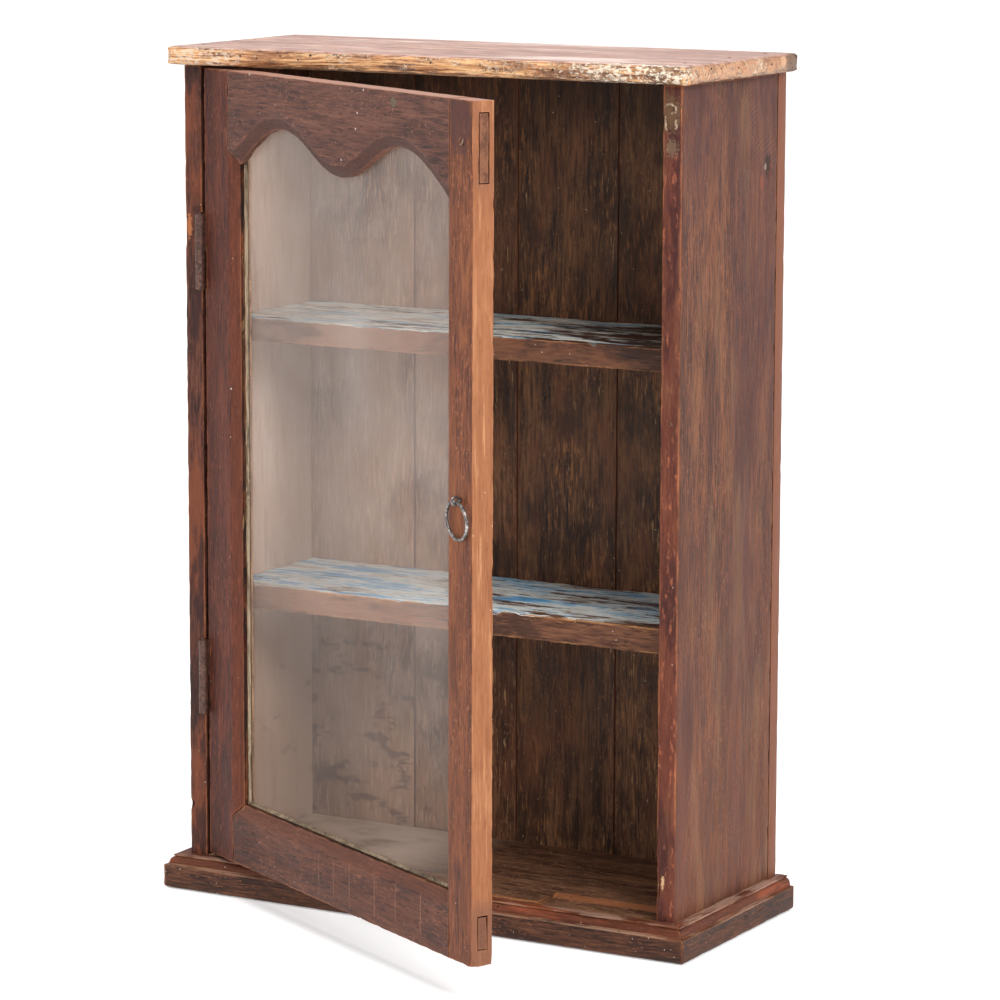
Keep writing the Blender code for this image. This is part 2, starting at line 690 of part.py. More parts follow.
def build_hinges(door, stile, paint):
    """Lift-off butt hinges: the lower knuckle is on the frame leaf and the upper one on the door leaf."""
    half = HINGE_LENGTH / 2
    for hinge, height in HINGE_HEIGHTS:
        middle = FLOOR_TOP_Z + height
        local = middle - DOOR_BOTTOM_Z
        inner = DOOR_SIDE_GAP / 2
        frame = knuckle(f"{hinge}_frame_leaf", -half, -TOUCH / 2, paint, place=(PIVOT_X, PIVOT_Y, middle))
        plate = leaf_outline(-half, -TOUCH / 2, half)
        join(frame, prism(f"plate_{hinge}_frame", plate, "X", -inner - LEAF_THICKNESS, -inner,
                          place=(PIVOT_X, PIVOT_Y, middle)))
        leaf = knuckle(f"{hinge}_door_leaf", TOUCH / 2, half, paint, door, (0, 0, local))
        plate = leaf_outline(TOUCH / 2, half, half)
        join(leaf, prism(f"plate_{hinge}_door", plate, "X", inner, inner + LEAF_THICKNESS, parent=door,
                         place=(0, 0, local)))
        turned(f"{hinge}_pin", pin_profile(half), paint, place=(PIVOT_X, PIVOT_Y, middle), count=32)
        seat_door_leaf(door, stile, hinge, local)
        for mark, offset in (("low", -SCREW_SPREAD), ("high", SCREW_SPREAD)):
            place_leaf_screws(door, frame, leaf, hinge, mark, middle + offset, local + offset, paint)


def seat_door_leaf(door, stile, hinge, height):
    reach = KNUCKLE_RADIUS + LEAF_DEPTH - DOOR_FACE_Y + TOUCH
    half = HINGE_LENGTH / 2 + TOUCH
    low = (-CUT_PAST, -CUT_PAST, height - half)
    high = (LEAF_RECESS, reach, height + half)
    cut(stile, door_block(f"recess_{hinge}_door", low, high, door))
    for mark, offset in (("low", -SCREW_SPREAD), ("high", SCREW_SPREAD)):
        cut(
            stile,
            rod(
                f"pilot_{hinge}_door_{mark}",
                SCREW_RADIUS + SCREW_FIT,
                "X",
                DOOR_EDGE_X,
                DOOR_EDGE_X + SCREW_LENGTH + SCREW_FIT,
                parent=door,
                place=(0, leaf_screw_y() - PIVOT_Y, height + offset),
                count=16,
            ),
        )


def screw_profile(length):
    """Countersunk screw pointing down -Z, its head's face at height 0."""
    head = [(0, 0), (SCREW_HEAD_RADIUS, 0), (SCREW_HEAD_RADIUS, -SCREW_HEAD_EDGE)]
    shank = [(SCREW_RADIUS, -LEAF_THICKNESS), (SCREW_RADIUS, SCREW_POINT - length), (0, -length)]
    return head + shank


def countersink(name, parent, place, turn):
    """Cutter for a screw's hole through a plate."""
    deep = PLATE_THICKNESS + CUT_PAST
    wide, narrow = SCREW_HEAD_RADIUS + SCREW_FIT, SCREW_RADIUS + SCREW_FIT
    profile = [(0, CUT_PAST / 2), (wide, CUT_PAST / 2), (wide, -SCREW_SUNK)]
    profile += [(narrow, -LEAF_THICKNESS), (narrow, -deep), (0, -deep)]
    return turned(name, profile, None, parent, place, turn, 16)


def place_leaf_screws(door, frame, leaf, hinge, mark, world_z, local_z, paint):
    """One countersunk screw into the panel and one into the door stile, on the leaves' mating faces."""
    into_frame = (0, math.radians(90), 0)
    into_door = (0, math.radians(-90), 0)
    frame_place = (-INNER_X - SCREW_SUNK, leaf_screw_y(), world_z)
    door_place = (DOOR_EDGE_X + SCREW_SUNK, leaf_screw_y() - PIVOT_Y, local_z)
    cut(frame, countersink(f"sink_{hinge}_frame_{mark}", None, (-INNER_X, *frame_place[1:]), into_frame))
    cut(leaf, countersink(f"sink_{hinge}_door_{mark}", door, (DOOR_EDGE_X, *door_place[1:]), into_door))
    profile = screw_profile(SCREW_LENGTH)
    turned(f"{hinge}_screw_frame_{mark}", profile, paint, None, frame_place, into_frame, 16)
    turned(f"{hinge}_screw_door_{mark}", profile, paint, door, door_place, into_door, 16)


def build_ring_pull(door, stile, paint_ring, paint_eye):
    """A wire eye driven into the free stile, and the ring that hangs in it against the door's face."""
    outer = EYE_HOLE_RADIUS + 2 * EYE_WIRE_RADIUS
    across = DOOR_WIDTH - FREE_STILE_FACE / 2
    height = FLOOR_TOP_Z + RING_HEIGHT - DOOR_BOTTOM_Z
    centre = Vector(door_point(across, -outer - TOUCH, height))
    shank_start = EYE_HOLE_RADIUS + EYE_WIRE_RADIUS
    eye = torus("ring_eye", shank_start, EYE_WIRE_RADIUS, paint_eye, door, centre, 28, 10)
    eye.rotation_euler = (0, 0, math.radians(90))
    shank_end = outer + TOUCH + EYE_SHANK
    join(eye, rod("shank_ring_eye", EYE_WIRE_RADIUS, "Y", shank_start, shank_end, door, centre, 16))
    bore, bore_end = EYE_WIRE_RADIUS + TOUCH, shank_end + TOUCH
    cut(stile, rod("hole_ring_eye", bore, "Y", outer - CUT_PAST, bore_end, door, centre, 16))
    sag = EYE_HOLE_RADIUS - RING_WIRE_RADIUS - PIN_CLEARANCE
    hang = add_empty("ring_axis", centre - Vector((0, 0, sag)), door, (math.radians(RING_LEAN_DEG), 0, 0))
    torus("ring_pull", RING_RADIUS, RING_WIRE_RADIUS, paint_ring, hang, (0, 0, -RING_RADIUS), 56, 12)


def keyhole(name, x, z, grow, near, far):
    """Cutter shaped like a keyhole: a round entry with a narrower slot that rises from it."""
    half = KEYSLOT_WIDTH / 2 + grow
    radius = KEYHOLE_RADIUS + grow
    lift = math.asin(half / radius)
    entry = circle(radius, 20, (0, -KEYSLOT_RISE / 2), math.pi / 2 + lift, 2 * (math.pi - lift))
    slot = circle(half, 9, (0, KEYSLOT_RISE / 2), 0, math.pi)
    return prism(name, entry + slot, "Y", near, far, place=(x, 0, z))


def build_hangers(planks, paint):
    """A keyhole plate let flush into the outer plank on each side, with a pocket behind its slot."""
    z = TOP_Z - PLATE_DROP
    into_back = (math.radians(-90), 0, 0)
    for side, sign, plank in (("left", -1, planks[0]), ("right", 1, planks[-1])):
        x = sign * PLATE_OFFSET
        low = (x - PLATE_WIDTH / 2, HALF_DEPTH - PLATE_THICKNESS, z - PLATE_HEIGHT / 2)
        high = (x + PLATE_WIDTH / 2, HALF_DEPTH, z + PLATE_HEIGHT / 2)
        plate = block(f"hanger_plate_{side}", low, high, paint)
        grow = Vector((TOUCH, TOUCH, TOUCH))
        cut(plank, block(f"recess_hanger_{side}", Vector(low) - grow, Vector(high) + grow))
        deep, far = HALF_DEPTH - KEYHOLE_POCKET, HALF_DEPTH + CUT_PAST
        cut(plank, keyhole(f"pocket_hanger_{side}", x, z, POCKET_ALLOWANCE, deep, far))
        near = HALF_DEPTH - PLATE_THICKNESS - CUT_PAST
        cut(plate, keyhole(f"slot_hanger_{side}", x, z, 0.0, near, far))
        for mark, offset in (("low", -PLATE_SCREW_SPREAD), ("high", PLATE_SCREW_SPREAD)):
            place = (x, HALF_DEPTH - SCREW_SUNK, z + offset)
            sink = countersink(f"sink_hanger_{side}_{mark}", None, (x, HALF_DEPTH, z + offset), into_back)
            cut(plate, sink)
            pilot = f"pilot_hanger_{side}_{mark}"
            start, radius = HALF_DEPTH - PLATE_SCREW_LENGTH - SCREW_FIT, SCREW_RADIUS + SCREW_FIT
            cut(plank, rod(pilot, radius, "Y", start, HALF_DEPTH, place=(x, 0, z + offset), count=16))
            screw = screw_profile(PLATE_SCREW_LENGTH)
            turned(f"hanger_screw_{side}_{mark}", screw, paint, None, place, into_back, 16)


def build():
    clear_scene()
    build_sides(wood("side_wood_left", (0.17, 0.075, 0.05)), wood("side_wood_right", (0.20, 0.085, 0.05)))
    back_colours = ((0.09, 0.05, 0.03), (0.10, 0.055, 0.03), (0.08, 0.045, 0.03), (0.085, 0.05, 0.03))
    back_woods = [wood(f"back_wood_{index + 1}", colour) for index, colour in enumerate(back_colours)]
    planks = build_back(back_woods)
    build_top(wood("worn_ochre_board", (0.55, 0.32, 0.16)))
    build_floor(wood("floor_wood", (0.12, 0.065, 0.04)), wood("base_wood", (0.12, 0.07, 0.04)))
    lower_paint = wood("lower_shelf_paint", (0.35, 0.45, 0.50))
    upper_paint = wood("upper_shelf_paint", (0.38, 0.44, 0.45))
    build_shelves([lower_paint, upper_paint])
    build_mouldings([wood(f"moulding_wood_{side}", (0.18, 0.085, 0.045)) for side in ("front", "left", "right")])

    turn = (0, 0, -math.radians(DOOR_OPEN_DEG))
    door = add_empty("door_axis", (PIVOT_X, PIVOT_Y, DOOR_BOTTOM_Z), turn=turn)
    hinge_side = wood("hinge_stile_wood", (0.17, 0.07, 0.05))
    free_side = wood("free_stile_wood", (0.22, 0.10, 0.05))
    stiles = build_stiles(door, hinge_side, free_side)
    upper = wood("top_rail_wood", (0.14, 0.065, 0.05))
    lower = wood("bottom_rail_wood", (0.13, 0.06, 0.045))
    top_rail, bottom_rail = build_rails(door, upper, lower)
    build_tenons(door, top_rail, bottom_rail, stiles)
    glass = material("clear_glass", (0.85, 0.90, 0.90), 0.05, alpha=0.3, transmission=0.9)
    build_glazing(door, glass, wood("bead_wood", (0.25, 0.15, 0.08)))
    build_hinges(door, stiles[0], iron("rusty_iron", (0.09, 0.065, 0.05)))
    ring, eye = iron("ring_steel", (0.25, 0.24, 0.23)), iron("eye_steel", (0.20, 0.19, 0.18))
    build_ring_pull(door, stiles[1], ring, eye)
    build_hangers(planks, iron("hanger_steel", (0.35, 0.34, 0.32)))


build()
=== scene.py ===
import json
import math
import random

import bmesh
import bpy
from mathutils import Matrix, Vector, kdtree, noise


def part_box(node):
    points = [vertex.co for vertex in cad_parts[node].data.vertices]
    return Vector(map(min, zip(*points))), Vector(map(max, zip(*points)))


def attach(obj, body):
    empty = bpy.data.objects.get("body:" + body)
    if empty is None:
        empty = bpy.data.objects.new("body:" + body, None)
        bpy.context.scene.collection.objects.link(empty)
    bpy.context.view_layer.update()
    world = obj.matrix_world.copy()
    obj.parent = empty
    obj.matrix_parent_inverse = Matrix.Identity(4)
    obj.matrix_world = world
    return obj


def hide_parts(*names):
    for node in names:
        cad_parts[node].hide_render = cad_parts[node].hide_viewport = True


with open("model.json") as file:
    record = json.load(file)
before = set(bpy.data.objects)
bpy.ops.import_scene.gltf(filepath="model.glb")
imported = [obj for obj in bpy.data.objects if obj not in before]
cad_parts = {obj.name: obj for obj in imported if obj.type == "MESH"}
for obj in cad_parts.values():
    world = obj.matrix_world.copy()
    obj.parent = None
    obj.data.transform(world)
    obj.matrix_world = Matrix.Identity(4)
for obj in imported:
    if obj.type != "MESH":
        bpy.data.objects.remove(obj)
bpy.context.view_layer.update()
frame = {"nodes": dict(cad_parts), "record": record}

NODES = frame["nodes"]
SCENE = bpy.context.scene
random.seed(7)

DOOR_TURN = math.radians(28.8)  # how far the door stands open at rest
joint = next(j for j in frame["record"]["behaviour"]["joints"] if j["name"] == "door_hinge")
HINGE = Vector((*joint["pos_m"][:2], 0.0))
TO_DOOR = Matrix.Translation(HINGE) @ Matrix.Rotation(DOOR_TURN, 4, "Z") @ Matrix.Translation(-HINGE)
FROM_DOOR = TO_DOOR.inverted()


def srgb(red, green, blue):
    def linear(value):
        value /= 255
        return value / 12.92 if value <= 0.04045 else ((value + 0.055) / 1.055) ** 2.4

    return (linear(red), linear(green), linear(blue), 1.0)


def trio(*values):
    """Dark, middle and light tones of a wood."""
    return [srgb(*values[start : start + 3]) for start in (0, 3, 6)]


# ---- shader building
class Shader:
    """A material's node tree, built by short calls that return output sockets."""

    def __init__(self, name):
        self.material = bpy.data.materials.new(name)
        self.material.use_nodes = True
        self.tree = self.material.node_tree
        self.bsdf = self.tree.nodes["Principled BSDF"]
        self.coords = self.node("ShaderNodeTexCoord").outputs["Object"]

    def node(self, kind, inputs=None, **settings):
        made = self.tree.nodes.new(kind)
        for key, value in settings.items():
            setattr(made, key, value)
        for key, value in (inputs or {}).items():
            self.feed(made.inputs[key], value)
        return made

    def feed(self, socket, value):
        if isinstance(value, bpy.types.NodeSocket):
            self.tree.links.new(value, socket)
        else:
            socket.default_value = value

    def math(self, operation, first, second=0.0, third=0.0, clamp=False):
        made = self.node("ShaderNodeMath", operation=operation, use_clamp=clamp)
        for socket, value in zip(made.inputs, (first, second, third)):
            self.feed(socket, value)
        return made.outputs[0]

    def vector(self, operation, first, second=(0, 0, 0)):
        made = self.node("ShaderNodeVectorMath", operation=operation)
        self.feed(made.inputs[0], first)
        self.feed(made.inputs[1], second)
        return made.outputs["Value" if operation in ("LENGTH", "DOT_PRODUCT", "DISTANCE") else "Vector"]

    def scaled(self, coords, scale, shift=(0, 0, 0)):
        made = self.node("ShaderNodeMapping", {"Vector": coords, "Scale": scale, "Location": shift})
        return made.outputs[0]

    def noise(self, coords, scale, detail=5.0, roughness=0.55, distortion=0.0):
        made = self.node(
            "ShaderNodeTexNoise",
            {"Vector": coords, "Scale": scale, "Detail": detail, "Roughness": roughness, "Distortion": distortion},
        )
        return made.outputs["Fac"]

    def noise_colour(self, coords, scale, detail=3.0):
        return self.node("ShaderNodeTexNoise", {"Vector": coords, "Scale": scale, "Detail": detail}).outputs["Color"]

    def range(self, value, low, high, start=0.0, end=1.0):
        made = self.node("ShaderNodeMapRange",
                         {"Value": value, "From Min": low, "From Max": high, "To Min": start, "To Max": end})
        made.interpolation_type = "SMOOTHSTEP"
        return made.outputs[0]

    def ramp(self, value, stops):
        made = self.node("ShaderNodeValToRGB", {"Fac": value})
        elements = made.color_ramp.elements
        while len(elements) > 1:
            elements.remove(elements[-1])
        elements[0].position, elements[0].color = stops[0]
        for place, colour in stops[1:]:
            elements.new(place).color = colour
        return made.outputs["Color"]

    def mix(self, factor, under, over, blend="MIX"):
        made = self.node("ShaderNodeMix", data_type="RGBA", blend_type=blend)
        self.feed(made.inputs[0], factor)
        self.feed(made.inputs[6], under)
        self.feed(made.inputs[7], over)
        return made.outputs[2]

    def blob(self, coords, centre, size, ragged=0.35, scale=None):
        """1 inside an ellipsoid with a ragged edge, 0 outside."""
        away = self.vector("SUBTRACT", coords, centre)
        away = self.vector("DIVIDE", away, size)
        length = self.vector("LENGTH", away)
        fray = self.noise(coords, scale or 3.5 / max(size), 4.0, 0.7)
        length = self.math("MULTIPLY_ADD", fray, ragged * 5, length)
        middle = 1.0 + ragged * 2.5
        return self.range(length, middle + 0.15, middle - 0.15)

    def edges(self, radius, low, high, samples=4):
        """1 on arrises, 0 on flats, from a rounded normal."""
        bevel = self.node("ShaderNodeBevel", {"Radius": radius}, samples=samples)
        normal = self.node("ShaderNodeNewGeometry").outputs["True Normal"]
        facing = self.vector("DOT_PRODUCT", bevel.outputs[0], normal)
        return self.range(facing, high, low)

    def finish(self, colour, roughness, height, depth, metallic=0.0, specular=0.4):
        bump = self.node("ShaderNodeBump", {"Height": height, "Distance": depth, "Strength": 1.0})
        self.feed(self.bsdf.inputs["Base Color"], colour)
        self.feed(self.bsdf.inputs["Roughness"], roughness)
        self.feed(self.bsdf.inputs["Metallic"], metallic)
        self.feed(self.bsdf.inputs["Specular IOR Level"], specular)
        self.tree.links.new(bump.outputs[0], self.bsdf.inputs["Normal"])
        return self.material


LONG = {"X": (1, 0, 0), "Y": (0, 1, 0), "Z": (0, 0, 1)}


def stretched(axis, along):
    """Mapping scale that squeezes one axis, so that noise runs along it."""
    return tuple(along if value else 1.0 for value in LONG[axis])


def dim(tone, factor):
    return tuple(channel * factor for channel in tone[:3]) + (1.0,)


class Wood(Shader):
    """Old board with its grain along one axis, in the space of the closed door for door pieces."""

    def __init__(self, name, axis, shift=0.0, door=False):
        super().__init__(name)
        self.axis = axis
        self.place = self.coords
        self.normal = self.tree.nodes["Texture Coordinate"].outputs["Normal"]
        if door:
            turn = {"rotation_type": "Z_AXIS"}
            made = self.node("ShaderNodeVectorRotate",
                             {"Vector": self.coords, "Center": tuple(HINGE), "Angle": DOOR_TURN}, **turn)
            self.place = made.outputs[0]
            made = self.node("ShaderNodeVectorRotate", {"Vector": self.normal, "Angle": DOOR_TURN}, **turn)
            self.normal = made.outputs[0]
        self.base = self.vector("ADD", self.place, (shift, shift * 0.7, shift * 0.4))
        self.colour = None
        self.height = None
        self.tone = None

    def facing(self, axis, low=0.45, high=0.8, sign=1.0):
        split = self.node("ShaderNodeSeparateXYZ", {"Vector": self.normal})
        return self.range(self.math("MULTIPLY", split.outputs[axis], sign), low, high)

    def front(self, low=0.6, high=0.85):
        return self.facing("Y", low, high, -1.0)

    def grain(self, tones, bands=60.0, fibre=620.0, contrast=1.0):
        """Broad bands with fine fibres over them."""
        sway = self.noise_colour(self.scaled(self.base, stretched(self.axis, 0.25)), 14.0, 1.0)
        sway = self.vector("SUBTRACT", sway, (0.5, 0.5, 0.5))
        sway = self.vector("MULTIPLY", sway, tuple(0.0 if value else 0.010 for value in LONG[self.axis]))
        wavy = self.vector("ADD", self.base, sway)
        self.wavy = wavy
        broad = self.noise(self.scaled(wavy, stretched(self.axis, 0.16)), bands, 6.0, 0.70)
        fine = self.noise(self.scaled(wavy, stretched(self.axis, 0.08), (3, 1, 2)), fibre * 0.85, 3.0, 0.65)
        mixed = self.math("MULTIPLY_ADD", fine, 0.60, self.math("MULTIPLY", broad, 0.40))
        half = 0.088 / contrast
        self.tone = mixed
        colour = self.ramp(mixed, [(0.5 - half, tones[0]), (0.5 - half * 0.25, tones[1]), (0.5 + half, tones[2])])
        pore = self.noise(self.scaled(wavy, stretched(self.axis, 0.10), (7, 3, 5)), fibre * 1.1, 2.0, 0.6)
        pore = self.range(pore, 0.42, 0.33)
        colour = self.mix(self.math("MULTIPLY", pore, 0.55), colour, dim(tones[0], 0.45))
        self.height = self.math("MULTIPLY_ADD", pore, -0.5, self.math("MULTIPLY", mixed, 1.3))
        self.colour = colour
        return colour

    def over(self, mask, tone, strength=1.0, rise=0.0):
        """Lays a tone over the board where the mask is 1."""
        if strength != 1.0:
            mask = self.math("MULTIPLY", mask, strength)
        self.colour = self.mix(mask, self.colour, tone)
        if rise:
            self.height = self.math("MULTIPLY_ADD", mask, rise, self.height)
        return mask

    def clouds(self, scale, low, high, along=0.35, shift=(0, 0, 0), detail=5.0, rough=0.65):
        coords = self.scaled(self.base, stretched(self.axis, along), shift)
        return self.range(self.noise(coords, scale, detail, rough), low, high)

    def streaks(self, scale, low, high, along=0.03, shift=(2, 5, 3)):
        coords = self.scaled(self.wavy, stretched(self.axis, along), shift)
        return self.range(self.noise(coords, scale, 3.0, 0.6), low, high)

    def gate(self, first, second):
        return self.math("MULTIPLY", first, second)

    def patch(self, mask, patches, tone, strength=1.0, rise=0.0):
        """Lays a tone in cloudy patches inside the mask."""
        return self.over(self.gate(mask, self.clouds(*patches)), tone, strength, rise)

    def position(self, axis):
        return self.node("ShaderNodeSeparateXYZ", {"Vector": self.place}).outputs[axis]

    def dots(self, scale, size, share, shift=0.0):
        """Sparse round specks, a random share of them kept."""
        coords = self.vector("ADD", self.base, (shift, shift, shift))
        cell = self.node("ShaderNodeTexVoronoi", {"Vector": coords, "Scale": scale, "Randomness": 1.0})
        near = self.range(cell.outputs["Distance"], size, size * 0.55)
        lot = self.node("ShaderNodeSeparateColor", {"Color": cell.outputs["Color"]}).outputs["Red"]
        return self.math("MULTIPLY", near, self.math("LESS_THAN", lot, share))

    def worn_edges(self, tone, strength, radius=0.003, low=0.86, high=0.985, patchy=(0.40, 0.62), scale=40.0):
        rim = self.edges(radius, low, high)
        chew = self.range(self.noise(self.scaled(self.base, stretched(self.axis, 0.3)), scale, 6.0, 0.7), *patchy)
        return self.over(self.gate(rim, chew), tone, strength, -0.3)

    def done(self, rough=(0.5, 0.7), depth=0.0005, specular=0.22):
        roughness = self.range(self.tone, 0.36, 0.64, rough[0], rough[1])
        return self.finish(self.colour, roughness, self.height, depth, 0.0, specular)


def board(name, axis, tones, shift=0.0, door=False, bands=60.0, fibre=620.0, contrast=1.0, dark=0.5, dark_tone=None,
          light=0.25, streak=0.4, cracks=0.6, worn=None, wear=0.6, specks=0.02, spots=(), rough=(0.5, 0.7),
          chamfer=None, extra=None):
    """Stained, worn board with stain clouds, dark and light streaks, hairline cracks and specks."""
    s = Wood(name, axis, shift, door)
    s.grain(tones, bands, fibre, contrast)
    dark_tone = dark_tone or dim(tones[0], 0.6)
    s.over(s.clouds(13.0, 0.48, 0.70), dark_tone, dark)
    s.over(s.clouds(20.0, 0.52, 0.72, 0.2, (5, 2, 1)), tones[2], light)
    s.over(s.clouds(55.0, 0.50, 0.68, 0.2, (8, 3, 1)), dark_tone, dark * 0.6)
    s.over(s.clouds(80.0, 0.52, 0.68, 0.15, (2, 8, 8)), tones[2], light)
    s.over(s.streaks(36.0, 0.50, 0.68, 0.05, (4, 4, 9)), dark_tone, streak * 0.6)
    s.over(s.streaks(90.0, 0.52, 0.70, 0.14), dark_tone, streak)
    grit = s.gate(s.clouds(520.0, 0.58, 0.66, 0.35, (6, 1, 3), 2.0), s.clouds(40.0, 0.40, 0.58, 0.4, (1, 1, 6)))
    s.over(grit, dim(tones[2], 1.5), 0.6, 0.3)
    line = s.noise(s.scaled(s.wavy, stretched(axis, 0.025), (9, 4, 7)), 120.0, 2.0, 0.5)
    line = s.range(s.math("ABSOLUTE", s.math("SUBTRACT", line, 0.5)), 0.006, 0.0)
    s.patch(line, (17.0, 0.54, 0.62, 0.15, (3, 8, 2), 2.0), dim(tones[0], 0.25), cracks, -1.4)
    if chamfer is not None:
        slope = s.front(0.94, 0.90)
        slope = s.gate(slope, s.front(0.5, 0.7))
        s.over(slope, chamfer, 0.45)
        # Painted shade: chamfer slopes that face downward are darkened, as the shade under them.
        under = s.gate(slope, s.facing("Z", 0.10, 0.30, -1.0))
        s.over(under, srgb(48, 25, 20), 0.6)
        ridge = s.edges(0.0016, 0.955, 0.992)
        flat = s.front(0.5, 0.7)
        s.over(s.gate(s.gate(ridge, flat), s.clouds(46.0, 0.40, 0.60, 0.2, (3, 3, 8))), dim(chamfer, 1.7), 0.55)
    if extra is not None:
        extra(s)
    if worn is not None:
        s.worn_edges(worn, wear)
    if specks:
        s.over(s.dots(330.0, 0.20, specks), srgb(206, 190, 176), 0.8, 0.3)
        s.over(s.dots(150.0, 0.16, specks * 0.8, 3.0), dim(tones[0], 0.3), 0.9, -0.8)
    for centre, size, tone, strength, ragged in spots:
        s.over(s.blob(s.place, centre, size, ragged), tone, strength, -0.4)
    return s.done(rough)


def metal(name, tones, rust=None, rusty=0.5, scale=260.0, rough=(0.3, 0.62), metallic=0.85, depth=0.0004):
    """Forged or drawn metal with pitting, dark skin, rubbed highlights and rust."""
    s = Shader(name)
    coarse = s.noise(s.coords, scale, 5.0, 0.65)
    fine = s.noise(s.coords, scale * 4.5, 4.0, 0.7)
    mixed = s.math("MULTIPLY_ADD", fine, 0.4, s.math("MULTIPLY", coarse, 0.7))
    colour = s.ramp(mixed, list(zip((0.35, 0.52, 0.72), tones)))
    shine = metallic
    if rust is not None:
        scab = s.range(s.noise(s.coords, scale * 0.7, 5.0, 0.7), 0.45, 0.60)
        scab = s.math("MULTIPLY", scab, rusty)
        colour = s.mix(scab, colour, rust)
        shine = s.math("MULTIPLY_ADD", scab, -metallic, metallic, clamp=True)
    roughness = s.range(mixed, 0.35, 0.75, rough[1], rough[0])
    return s.finish(colour, roughness, mixed, depth, shine, 0.5)


def painted(name, axis, tones, paints, shift=0.0, cover=0.5, bare_side=None, front=None):
    """Shelf board: worn coats of pale paint on top, bare stained wood on its front edge."""
    s = Wood(name, axis, shift)
    s.grain(tones, 60.0, 620.0, 0.7)
    s.over(s.clouds(13.0, 0.48, 0.70), dim(tones[0], 0.6), 0.5)
    ahead = s.front()
    s.patch(ahead, (22.0, 0.50, 0.66, 0.4, (6, 2, 5)), srgb(150, 92, 60), 0.25)
    along = s.position("X")
    hinged = s.range(along, 0.02, -0.12)
    s.over(s.gate(ahead, hinged), srgb(178, 136, 112), 0.4)
    s.patch(ahead, (36.0, 0.52, 0.64, 0.4, (1, 8, 5)), srgb(44, 26, 20), 0.65)
    upward = s.facing("Z", 0.6, 0.85)
    coat = s.noise(s.scaled(s.wavy, stretched(axis, 0.30)), 46.0, 6.0, 0.72)
    scrape = s.noise(s.scaled(s.wavy, stretched(axis, 0.09), (4, 7, 2)), 300.0, 3.0, 0.7)
    cover_mix = s.math("MULTIPLY_ADD", scrape, 0.38, s.math("MULTIPLY", coat, 0.62))
    cover_mix = s.math("MULTIPLY_ADD", hinged, 0.045, cover_mix)
    if bare_side is not None:
        less = s.range(along, *bare_side)
        cover_mix = s.math("MULTIPLY_ADD", less, -0.07, cover_mix)
    laid = s.gate(s.range(cover_mix, cover - 0.025, cover + 0.02), upward)
    hue = s.noise(s.scaled(s.wavy, stretched(axis, 0.22), (1, 3, 9)), 44.0, 6.0, 0.7)
    fleck = s.noise(s.scaled(s.wavy, stretched(axis, 0.1), (6, 1, 4)), 300.0, 3.0, 0.7)
    hue = s.math("MULTIPLY_ADD", fleck, 0.35, s.math("MULTIPLY", hue, 0.65))
    paint = s.ramp(hue, [(0.40, paints[0]), (0.46, paints[1]), (0.50, paints[2]), (0.60, paints[3])])
    s.patch(upward, (90.0, 0.5, 0.62, 0.12, (2, 2, 7)), srgb(46, 34, 28), 0.5)
    s.over(laid, paint, 1.0, 0.45)
    if front is not None:
        s.worn_edges(front, 0.8, 0.0035, 0.84, 0.985, (0.42, 0.58), 55.0)
    s.over(s.dots(300.0, 0.2, 0.03), srgb(214, 206, 196), 0.7, 0.3)
    return s.done((0.5, 0.75))


# ---- aged copies of CAD boards
ARRIS_ANGLE = math.radians(20)  # edges sharper than this wear
ARRIS_STEP = 0.0015  # between the points that mark an arris
SHARP_ANGLE = math.radians(24)  # edges sharper than this are shaded sharp
BITE_SCALE = 75.0  # of the noise that bites the arrises


def spaced(low, high, step, rim):
    places = []
    if high - low > 3 * rim[-1]:
        places += [low + r for r in rim] + [high - r for r in rim]
    count = max(1, round((high - low) / step))
    places += [low + (high - low) * index / count for index in range(1, count)]
    places.sort()
    kept = []
    for place in places:
        if not kept or place - kept[-1] > 0.0006:
            kept.append(place)
    return kept


def slice_faces(bm, faces, axis, places):
    """Cuts faces by planes across one axis, halving the list of planes so that each face meets few cuts."""
    if not places or not faces:
        return
    middle = places[len(places) // 2]
    geom = set(faces)
    for face in faces:
        geom.update(face.edges)
        geom.update(face.verts)
    normal = Vector((0, 0, 0))
    normal[axis] = 1.0
    point = Vector((0, 0, 0))
    point[axis] = middle
    made = bmesh.ops.bisect_plane(bm, geom=list(geom), dist=1e-7, plane_co=point, plane_no=normal)
    below, above = [], []
    for face in made["geom"]:
        if isinstance(face, bmesh.types.BMFace):
            (below if face.calc_center_bounds()[axis] < middle else above).append(face)
    slice_faces(bm, below, axis, places[: len(places) // 2])
    slice_faces(bm, above, axis, places[len(places) // 2 + 1 :])


